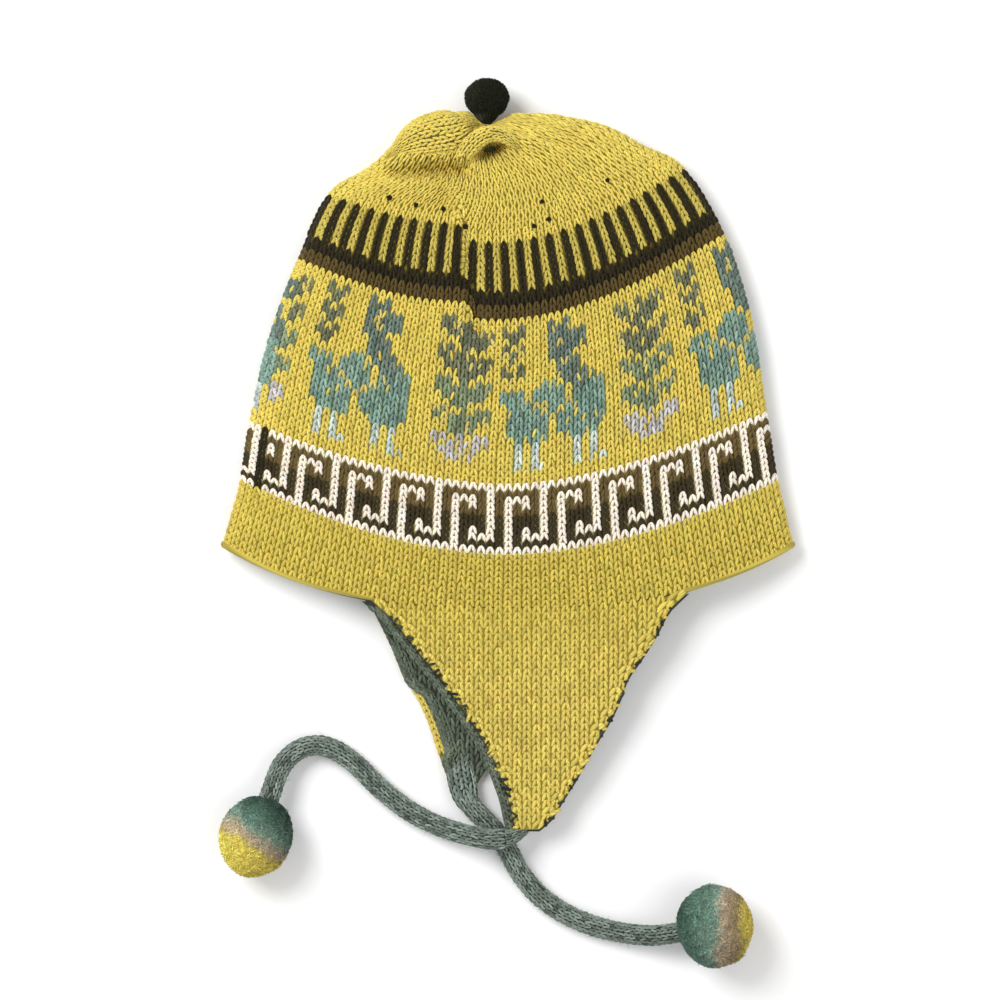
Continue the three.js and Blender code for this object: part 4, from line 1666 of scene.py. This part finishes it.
@dataclass
class Tie:
    """A knitted round cord, from a flap's tip to its pompom."""

    name: str
    route: Route
    finishes: Finishes
    rng: np.random.Generator
    flare: KnitTube
    diameter: float = 10.4 * MM
    hairs: int = 320
    hair_radius: float = 0.05 * MM
    hair_span: tuple[float, float] = (0.03, 0.97)
    hair_below: float = 0.3
    hair_root: float = 0.4 * MM
    hair_length: tuple[float, float] = (0.8, 2.0)
    hair_bow: float = 0.5
    hair_sideways: float = 0.6
    hair_lean: float = 0.8
    hair_tone: float = 1.1

    def build(self, pompom: bpy.types.Object) -> None:
        """Args:
            pompom: the ball on its end; not used.
        """
        radius = self.diameter / 2 / MM
        even = Table("share wide high", [(0, radius, radius), (1, radius, radius)])
        parts = KnitTube(self.route, self.rng, even, Shade.TIE).parts()
        self.add_hairs(parts)
        wool = self.finishes.yarn(f"tie_{self.name}_wool")
        stands = (wool, f"tie_{self.name}", "tie_knit")
        piece = parts.piece(f"tie_{self.name}_cord", *stands)
        root = self.flare.parts().piece(f"tie_{self.name}_root", *stands)

    def add_hairs(self, parts: MeshParts) -> None:
        """Add stray fibres that lean off the cord.

        Args:
            parts: the mesh to add to.
        """
        one = (self.hairs, 1)
        places = self.rng.uniform(*self.hair_span, self.hairs) * self.route.length
        ends = (-self.hair_below, math.pi + self.hair_below)
        angles = self.rng.uniform(*ends, self.hairs)[:, None]
        where, heading, side, up = self.route.frames(places)
        out = np.cos(angles) * side + np.sin(angles) * up
        foot = where + out * (self.diameter / 2 - self.hair_root)
        t = np.linspace(0, 1, 4)[None, :, None]
        length = self.rng.uniform(*self.hair_length, (*one, 1)) * MM
        lean = heading * self.rng.normal(0, 1, one)
        lean = lean + side * self.rng.normal(0, self.hair_sideways, one)
        lines = foot[:, None] + out[:, None] * length * t * (1 - self.hair_bow * t)
        lines = lines + lean[:, None] * length * t * t * self.hair_lean
        tone = Shade.TIE.tone(self.hair_tone)
        add_strands(parts, lines, np.array([self.hair_radius]), tone, 3)


@dataclass
class GatherFolds:
    """Rolls of knitting round the gather: the fat lobe behind it and the twisted loop before it."""

    cloth: HatCloth
    finishes: Finishes
    rng: np.random.Generator
    heather: float = 0.07

    def build(self) -> None:
        """Make both rolls."""
        wool = self.finishes.yarn("fold_wool")
        rolls = {
            "lobe": (LOBE_ROUTE, LOBE_RADII, {"columns": 16, "bed": 1.1 * MM}),
            "loop": (LOOP_ROUTE, LOOP_RADII, {"columns": 8, "row_height": 2.6 * MM}),
        }
        for name, (points, radii, sizes) in rolls.items():
            route = Route(points, self.cloth.origin)
            table = Table("share wide high", radii)
            tube = KnitTube(route, self.rng, table, Shade.YELLOW, heather=self.heather, **sizes)
            tube.parts().piece(f"gather_{name}", wool, "crown", "outer_knit")


@dataclass
class Pompom:
    """A dense ball of cut yarn: a felted skin with fibres that lie on it."""

    name: str
    node: str
    slot: str
    finishes: Finishes
    rng: np.random.Generator
    centre: np.ndarray
    axis: np.ndarray
    radius: float
    half: float
    shades: tuple[tuple[float, float, float], ...]
    bands: tuple[float, ...]
    gradient: np.ndarray
    light: np.ndarray
    strands: int = 12000
    thickness: float = 0.24 * MM
    rise: float = 0.9 * MM
    lean: float = 1.3 * MM
    mottle: float = 0.16
    band_noise: float = 0.03
    # Painted shade: the skin between the fibres is drawn darker than they are.
    skin_shade_tone: float = 0.72
    skin_noise: float = 0.006
    skin_rows: int = 61
    skin_columns: int = 120
    band_wave: tuple[float, float, float] = (310.0, 190.0, 260.0)
    patch: float = 0.14
    patch_waves: tuple[tuple[float, ...], ...] = ((17.0, 11.0, 9.0), (-12.0, 15.0, 14.0))
    least_size: float = 0.955
    lumps: tuple[tuple[float, tuple[float, ...]], ...] = (
        (0.018, (7.0, 4.0, 6.0)),
        (0.012, (-11.0, 14.0, 9.0)),
    )
    scatter: float = 0.03
    fibre_rise: tuple[float, float] = (0.3, 1.2)
    fibre_width: tuple[float, float] = (0.6, 1.4)
    fibre_root: float = 0.4 * MM
    fibre_taper: tuple[float, ...] = (1.0, 1.0, 0.5)
    tuft_strands: int = 420
    tuft_start: tuple[float, float] = (0.35, 0.8)
    tuft_end: float = 0.2
    tuft_belly: float = 0.35
    tuft_mottle: float = 0.12
    tuft_width: float = 0.45 * MM
    root: np.ndarray | None = None

    def colours(self, ball: np.ndarray) -> np.ndarray:
        """Colour at places on the ball: bands along the gradient, paler towards the light side.

        Args:
            ball: places on the ball, from its centre.

        Returns:
            Linear colours.
        """
        stops = np.array(self.shades)
        share = 0.5 + 0.5 * (ball @ self.gradient) / self.radius
        share = share + self.band_noise * np.sin(ball @ np.array(self.band_wave))
        share = np.clip(share + self.rng.normal(0, self.band_noise, len(ball)), 0, 1)
        shade = np.stack([np.interp(share, self.bands, stops[:, k]) for k in range(3)], 1)
        first, second = (np.sin(unit(ball) @ np.array(wave)) for wave in self.patch_waves)
        pale = 1 + (ball @ self.light) / self.radius + self.patch * (first * second)
        return shade * (pale * (1 + self.rng.normal(0, self.mottle, len(ball))))[:, None]

    def shaped(self, out: np.ndarray) -> np.ndarray:
        """Places on the ball's lumpy surface in given directions, its length along its axis.

        Args:
            out: unit vectors from the ball's centre.

        Returns:
            Places from its centre.
        """
        shaft = (out @ self.axis)[:, None]
        size = self.least_size
        for depth, wave in self.lumps:
            size = size + depth * np.sin(out @ np.array(wave))
        return (out * self.radius + self.axis * shaft * (self.half - self.radius)) * size[:, None]

    def build(self) -> bpy.types.Object:
        """Make the ball: its fibres, the tuft at its root if it has one, and its skin.

        Returns:
            The ball's object.
        """
        parts = MeshParts()
        self.add_fibres(parts)
        if self.root is not None:
            self.add_tuft(parts)
        self.add_skin(parts)
        wool = self.finishes.yarn(f"{self.name}_wool", plies=6.0, bump=0.3)
        return parts.piece(self.name, wool, self.node, self.slot)

    def add_fibres(self, parts: MeshParts) -> None:
        """Add fibres that lie on the skin, each bent along a random tangent.

        They start evenly spread: each next one is turned by the golden angle.

        Args:
            parts: the mesh to add to.
        """
        n = self.strands
        level = 1 - 2 * (np.arange(n) + 0.5) / n
        turn = np.arange(n) * math.pi * (3 - math.sqrt(5))
        flat = np.sqrt(1 - level**2)
        out = np.stack([flat * np.cos(turn), flat * np.sin(turn), level], 1)
        out = unit(out + self.rng.normal(0, self.scatter, (n, 3)))
        ball = self.shaped(out)
        sweep = np.cross(out, self.rng.normal(0, 1, (n, 3))) * self.lean
        rise = out * self.rise * self.rng.uniform(*self.fibre_rise, (n, 1))
        t = np.array([0.0, 0.5, 1.0])[None, :, None]
        foot = self.centre + ball - out * self.fibre_root
        lines = foot[:, None] + rise[:, None] * np.sqrt(t) + sweep[:, None] * t
        width = self.thickness * self.rng.uniform(*self.fibre_width, (n, 1))
        width = width * np.array([self.fibre_taper])
        add_strands(parts, lines, width, self.colours(ball)[:, None], 3)

    def add_skin(self, parts: MeshParts) -> None:
        """Add the felted skin.

        Args:
            parts: the mesh to add to.
        """
        u = np.linspace(0, math.pi, self.skin_rows)[:, None]
        v = np.linspace(0, 2 * math.pi, self.skin_columns, endpoint=False)[None, :]
        level = np.cos(u) * np.ones_like(v)
        out = np.stack([np.sin(u) * np.cos(v), np.sin(u) * np.sin(v), level], -1)
        skin = self.shaped(out.reshape(-1, 3))
        skin = skin * (1 + self.rng.normal(0, self.skin_noise, (len(skin), 1)))
        quads = grid_quads(self.skin_rows, self.skin_columns, True)[:, ::-1]
        # Painted shade: the skin darker than the fibres on it.
        parts.add(skin + self.centre, quads, self.colours(skin) * self.skin_shade_tone)

    def add_tuft(self, parts: MeshParts) -> None:
        """Add strands that narrow from the ball to its root.

        Args:
            parts: the mesh to add to.
        """
        n = self.tuft_strands
        turn = self.rng.uniform(0, 2 * math.pi, n)[:, None]
        spread = np.sqrt(self.rng.uniform(0, 1, n))[:, None]
        side = unit(np.cross(self.axis, UP))
        wide = (np.cos(turn) * side + np.sin(turn) * np.cross(side, self.axis)) * spread
        back, spread = self.tuft_start
        start = self.centre - self.axis * self.half * back + wide * self.radius * spread
        end = self.root + wide * self.radius * self.tuft_end
        t = np.linspace(0, 1, 4)[None, :, None]
        lines = start[:, None] + (end - start)[:, None] * t
        lines = lines + wide[:, None] * (t * (1 - t)) * self.radius * self.tuft_belly
        shade = np.array(self.shades[0]) * (1 + self.rng.normal(0, self.tuft_mottle, (n, 1, 1)))
        add_strands(parts, lines, np.array([self.tuft_width]), shade, 3)


@dataclass(frozen=True)
class Lamp:
    """A square light: its name, place, side and power."""

    name: str
    place: tuple[float, float, float]
    side: float
    power: float


@dataclass
class Studio:
    """The pale floor, soft light and the camera straight above."""

    pixel: float = 0.47 * MM
    pixels: int = 1000
    rim_middle: tuple[float, float] = (508.0, 607.0)
    distance: float = 2.3
    sharp_height: float = 0.02
    film: float = 36.0
    clip_end: float = 20.0
    floor_height: float = -0.6 * MM
    floor_half: float = 3.0
    floor_shade: tuple[float, float, float, float] = (0.92, 0.92, 0.92, 1)
    floor_roughness: float = 0.9
    sky: float = 0.62
    lamps: tuple[Lamp, ...] = (
        Lamp("key", (-0.9, 0.7, 1.5), 0.9, 26.0),
        Lamp("fill", (1.0, -0.5, 1.6), 1.4, 9.0),
    )

    def build(self, origin: np.ndarray) -> None:
        """Place the camera so that the rim's middle falls where the photograph has it.

        Args:
            origin: the middle of the rim in the row's frame.
        """
        scene = bpy.context.scene
        centre = self.pixels / 2
        aim_x = origin[0] + (centre - self.rim_middle[0]) * self.pixel
        aim_y = origin[1] + (self.rim_middle[1] - centre) * self.pixel
        lens = bpy.data.cameras.new("camera")
        lens.sensor_width = self.film
        lens.lens = self.film * (self.distance - self.sharp_height) / (self.pixels * self.pixel)
        lens.clip_end = self.clip_end
        scene.camera = self.link(lens, (aim_x, aim_y, self.distance))
        self.build_floor()
        scene.world = bpy.data.worlds.new("studio")
        scene.world.use_nodes = True
        sky = scene.world.node_tree.nodes["Background"]
        sky.inputs["Color"].default_value = (1, 1, 1, 1)
        sky.inputs["Strength"].default_value = self.sky
        for lamp in self.lamps:
            light = bpy.data.lights.new(lamp.name, "AREA")
            light.size, light.energy = lamp.side, lamp.power
            aim = (-Vector(lamp.place)).to_track_quat("-Z", "Y")
            self.link(light, lamp.place).rotation_euler = aim.to_euler()
        scene.view_settings.view_transform = "Standard"

    @staticmethod
    def link(data: bpy.types.ID, place: tuple[float, float, float]) -> bpy.types.Object:
        """An object with the data's name at a place, linked to the scene.

        Args:
            data: a mesh, light or camera.
            place: where it goes.

        Returns:
            The new object.
        """
        made = bpy.data.objects.new(data.name, data)
        made.location = place
        bpy.context.scene.collection.objects.link(made)
        return made

    def build_floor(self) -> None:
        """Make the floor, just under what lies on it."""
        half, z = self.floor_half, self.floor_height
        corners = [(x * half, y * half, z) for x, y in ((-1, -1), (1, -1), (1, 1), (-1, 1))]
        mesh = bpy.data.meshes.new("floor")
        mesh.from_pydata(corners, [], [(0, 1, 2, 3)])
        pale = bpy.data.materials.new("pale_floor")
        pale.use_nodes = True
        shader = pale.node_tree.nodes["Principled BSDF"]
        shader.inputs["Base Color"].default_value = self.floor_shade
        shader.inputs["Roughness"].default_value = self.floor_roughness
        mesh.materials.append(pale)
        self.link(mesh, (0, 0, 0))


# Routes are places in millimetres from the middle of the rim: across, along and up.
UPPER_ROUTE = [
    (-1.4, -109.2, 16.3), (-6.4, -109.6, 16.4), (-12, -109, 15.2), (-21, -107.2, 11.2),
    (-30.5, -104.6, 7.1), (-38.5, -101.2, 5.4), (-46.4, -96.9, 5.3), (-54, -91.4, 5.3),
    (-60.8, -85.8, 5.3), (-67, -79.6, 5.3), (-73.4, -73.4, 5.3), (-80.2, -68.8, 5.3),
    (-87.6, -66, 5.4), (-95, -66.2, 6.2), (-102, -69.8, 7.8), (-107, -75.6, 9.7),
    (-109.8, -82, 11.6), (-111.8, -88.2, 13.3), (-113.6, -93.4, 14.4),
]
LOWER_ROUTE = [
    (-21, -86.2, 5.3), (-20, -90, 5.3), (-17.4, -94.4, 5.3), (-12.6, -99.4, 5.3),
    (-6.8, -105.6, 5.3), (-1.8, -112.4, 5.3), (2, -119.4, 5.3), (6.4, -127, 5.3),
    (11.8, -133.8, 5.3), (18.4, -139.8, 5.3), (26, -144.8, 5.3), (34.4, -148.8, 5.3),
    (43, -151.8, 5.3), (52, -154, 5.7), (61, -155.2, 7), (69.8, -155.2, 10.4),
    (78, -153.8, 14.2), (84, -152.6, 16.2),
]
UPPER_ROOT = [(9, -105.2, 12.6), (3.6, -107.8, 14.6), (-1.4, -109.2, 16.1), (-6.4, -109.6, 16.4)]
LOWER_ROOT = [
    (-23.4, -70, 2.2), (-23.1, -75, 3.2), (-22.3, -80.6, 4.4), (-21, -86.2, 5.1), (-20, -90, 5.3),
    (-17.4, -94.4, 5.3),
]
LOBE_ROUTE = [
    (-58, 210.5, 18), (-53.9, 213.6, 20), (-44.5, 218.6, 21.5), (-35.1, 221.2, 22),
    (-25.7, 223, 21), (-20, 225.4, 19), (-15, 226.6, 17),
]
LOOP_ROUTE = [
    (-23, 207.5, 22), (-20.5, 212.5, 26.5), (-15.5, 218.2, 28.5), (-10, 221.4, 28.5),
    (-3.8, 221.4, 28), (2.5, 217.8, 26.5), (7, 214.2, 23),
]
# Radii: share of the way along the route, half width and half height in millimetres.
UPPER_FLARE = [(0, 2.4, 2), (0.35, 3.8, 3.6), (0.7, 4.8, 4.8), (1, 5, 5)]
LOWER_FLARE = [
    (0, 6.6, 1.4), (0.2, 7.2, 2.2), (0.44, 7.6, 3.2), (0.66, 7.2, 4.4), (0.84, 6.2, 5), (1, 5.1, 5.1),
]
LOBE_RADII = [
    (0, 1, 1.5), (0.115, 3.4, 4), (0.345, 9, 9.5), (0.557, 11.4, 11.5),
    (0.76, 10.8, 10.5), (0.89, 6.8, 7), (1, 3, 3),
]
LOOP_RADII = [
    (0, 2.5, 2.5), (0.2, 4.6, 4.6), (0.45, 4.8, 4.6), (0.65, 4.1, 4.1), (0.85, 3, 3), (1, 1.4, 1.4),
]
# Outlines: share of the way down a flap, back and front edge in shares of the hat's half width.
UPPER_OUTLINE = [
    (0.0, -0.478, 0.63), (0.0577, -0.415, 0.564), (0.1472, -0.352, 0.519), (0.2376, -0.293, 0.47),
    (0.327, -0.232, 0.418), (0.4165, -0.183, 0.392), (0.506, -0.133, 0.358), (0.5954, -0.088, 0.315),
    (0.6849, -0.05, 0.276), (0.7743, -0.022, 0.237), (0.8638, 0.002, 0.193), (0.953, 0.017, 0.15),
    (1.0, 0.028, 0.108),
]
LOWER_OUTLINE = [
    (0.0, -0.485, 0.58), (0.073, -0.463, 0.53), (0.185, -0.424, 0.44), (0.296, -0.393, 0.36),
    (0.408, -0.364, 0.28), (0.52, -0.318, 0.19), (0.632, -0.285, 0.1), (0.744, -0.261, 0.02),
    (0.856, -0.238, -0.05), (1.0, -0.205, -0.108),
]


@dataclass(frozen=True)
class BallLook:
    """A tie's pompom: its sizes in millimetres, and how its colours run across it."""

    wide: float
    long: float
    shades: tuple[tuple[float, float, float], ...]
    bands: tuple[float, ...]
    slant: tuple[float, float, float]
    light: tuple[float, float, float]


DEEP, SEA, MIST = srgb(62, 92, 78), srgb(98, 130, 114), srgb(136, 164, 146)
BEIGE, TAN, LEMON = srgb(190, 172, 146), srgb(162, 140, 104), srgb(222, 204, 96)
BALL_LOOKS = {
    "upper": BallLook(
        wide=34.4,
        long=39.0,
        shades=(DEEP, SEA, MIST, BEIGE, BEIGE, LEMON, LEMON),
        bands=(0.0, 0.28, 0.44, 0.49, 0.6, 0.68, 1.0),
        slant=(-0.52, -0.84, 0.1),
        light=(-0.36, 0.0, 0.1),
    ),
    "lower": BallLook(
        wide=39.6,
        long=35.6,
        shades=(DEEP, SEA, MIST, BEIGE, TAN, LEMON),
        bands=(0.0, 0.3, 0.54, 0.58, 0.8, 0.86),
        slant=(0.98, -0.06, 0.1),
        light=(0.0, 0.16, 0.1),
    ),
}


BALL_OVERLAP = 3.7
TOP_BALL_OFFSET = np.array([0, 11.9, 0])


def add_pompoms(
    finishes: Finishes, rng: np.random.Generator, ties: dict[str, Route], cloth: HatCloth
) -> dict[str, bpy.types.Object]:
    """Make the two tie pompoms and the small dark one.

    Args:
        finishes: the materials.
        rng: the seeded numbers.
        ties: the ties' routes.
        cloth: the crown's cloth.

    Returns:
        The tie pompoms by name.
    """
    made = {}
    for name, route in ties.items():
        look = BALL_LOOKS[name]
        heading = route.frames(np.array([route.length]))[1][0]
        made[name] = Pompom(
            name=f"pompom_{name}_ball",
            node=f"pompom_{name}",
            slot="pompom_yarn",
            finishes=finishes,
            rng=rng,
            centre=route.points[-1] + heading * (look.long / 2 - BALL_OVERLAP) * MM,
            axis=heading,
            radius=look.wide / 2 * MM,
            half=look.long / 2 * MM,
            shades=look.shades,
            bands=look.bands,
            gradient=unit(np.array(look.slant)),
            light=np.array(look.light),
        ).build()
    gather = cloth.gather_point(0)
    dark, darker = srgb(35, 38, 15), srgb(26, 30, 11)
    Pompom(
        name="top_ball",
        node="top_pompom",
        slot="dark_yarn",
        finishes=finishes,
        rng=rng,
        centre=gather + TOP_BALL_OFFSET * MM,
        axis=np.array([0.0, 1.0, 0.0]),
        radius=10.3 * MM,
        half=9.2 * MM,
        shades=(dark, darker, dark),
        bands=(0.0, 0.5, 1.0),
        gradient=np.array([1.0, 0.0, 0.0]),
        light=np.array([-0.1, 0.2, 0.2]),
        strands=9000,
        thickness=0.2 * MM,
        rise=1.1 * MM,
        lean=0.5 * MM,
        mottle=0.42,
        root=gather,
    ).build()
    return made


def main() -> None:
    """Build the studio and the hat, piece by piece."""
    logging.basicConfig(level=logging.INFO, format="%(message)s")
    rng = np.random.default_rng(SEED)
    low, high = (np.array(c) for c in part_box("crown"))
    cloth = HatCloth()
    cloth.origin = np.array([(low[0] + high[0]) / 2, low[1], low[2]])
    Studio().build(cloth.origin)
    finishes = Finishes()
    routes = {"upper": Route(UPPER_ROUTE, cloth.origin), "lower": Route(LOWER_ROUTE, cloth.origin)}
    balls = add_pompoms(finishes, rng, routes, cloth)
    roots = {"upper": (UPPER_ROOT, UPPER_FLARE), "lower": (LOWER_ROOT, LOWER_FLARE)}
    for name, (points, radii) in roots.items():
        table = Table("share wide high", radii)
        flare = KnitTube(Route(points, cloth.origin), rng, table, Shade.TIE)
        Tie(name, routes[name], finishes, rng, flare).build(balls[name])
    crown = Crown(cloth, finishes, rng)
    crown.build()
    GatherFolds(cloth, finishes, rng).build()
    near = cloth.knit_wall + cloth.layer_gap
    gap = 0.3 * MM
    start = cloth.lining_show + gap
    common = {"cloth": cloth, "finishes": finishes, "rng": rng, "seam": crown.seam}
    EarFlap(
        name="upper",
        over=True,
        length=105 * MM,
        outline=Table("down back front", UPPER_OUTLINE),
        knit=Layer(0, cloth.knit_wall, gap),
        lining=Layer(near, cloth.lining_wall, start, 4.4 * MM, 0.3 * MM, 1 * MM),
        **common,
    ).build()
    EarFlap(
        name="lower",
        over=False,
        length=84 * MM,
        outline=Table("down back front", LOWER_OUTLINE),
        knit=Layer(0, cloth.knit_wall, gap),
        lining=Layer(near, cloth.lining_wall, start, -3.6 * MM, curl=(0.47, 0.84)),
        **common,
    ).build()


if __name__ == "__main__":
    main()
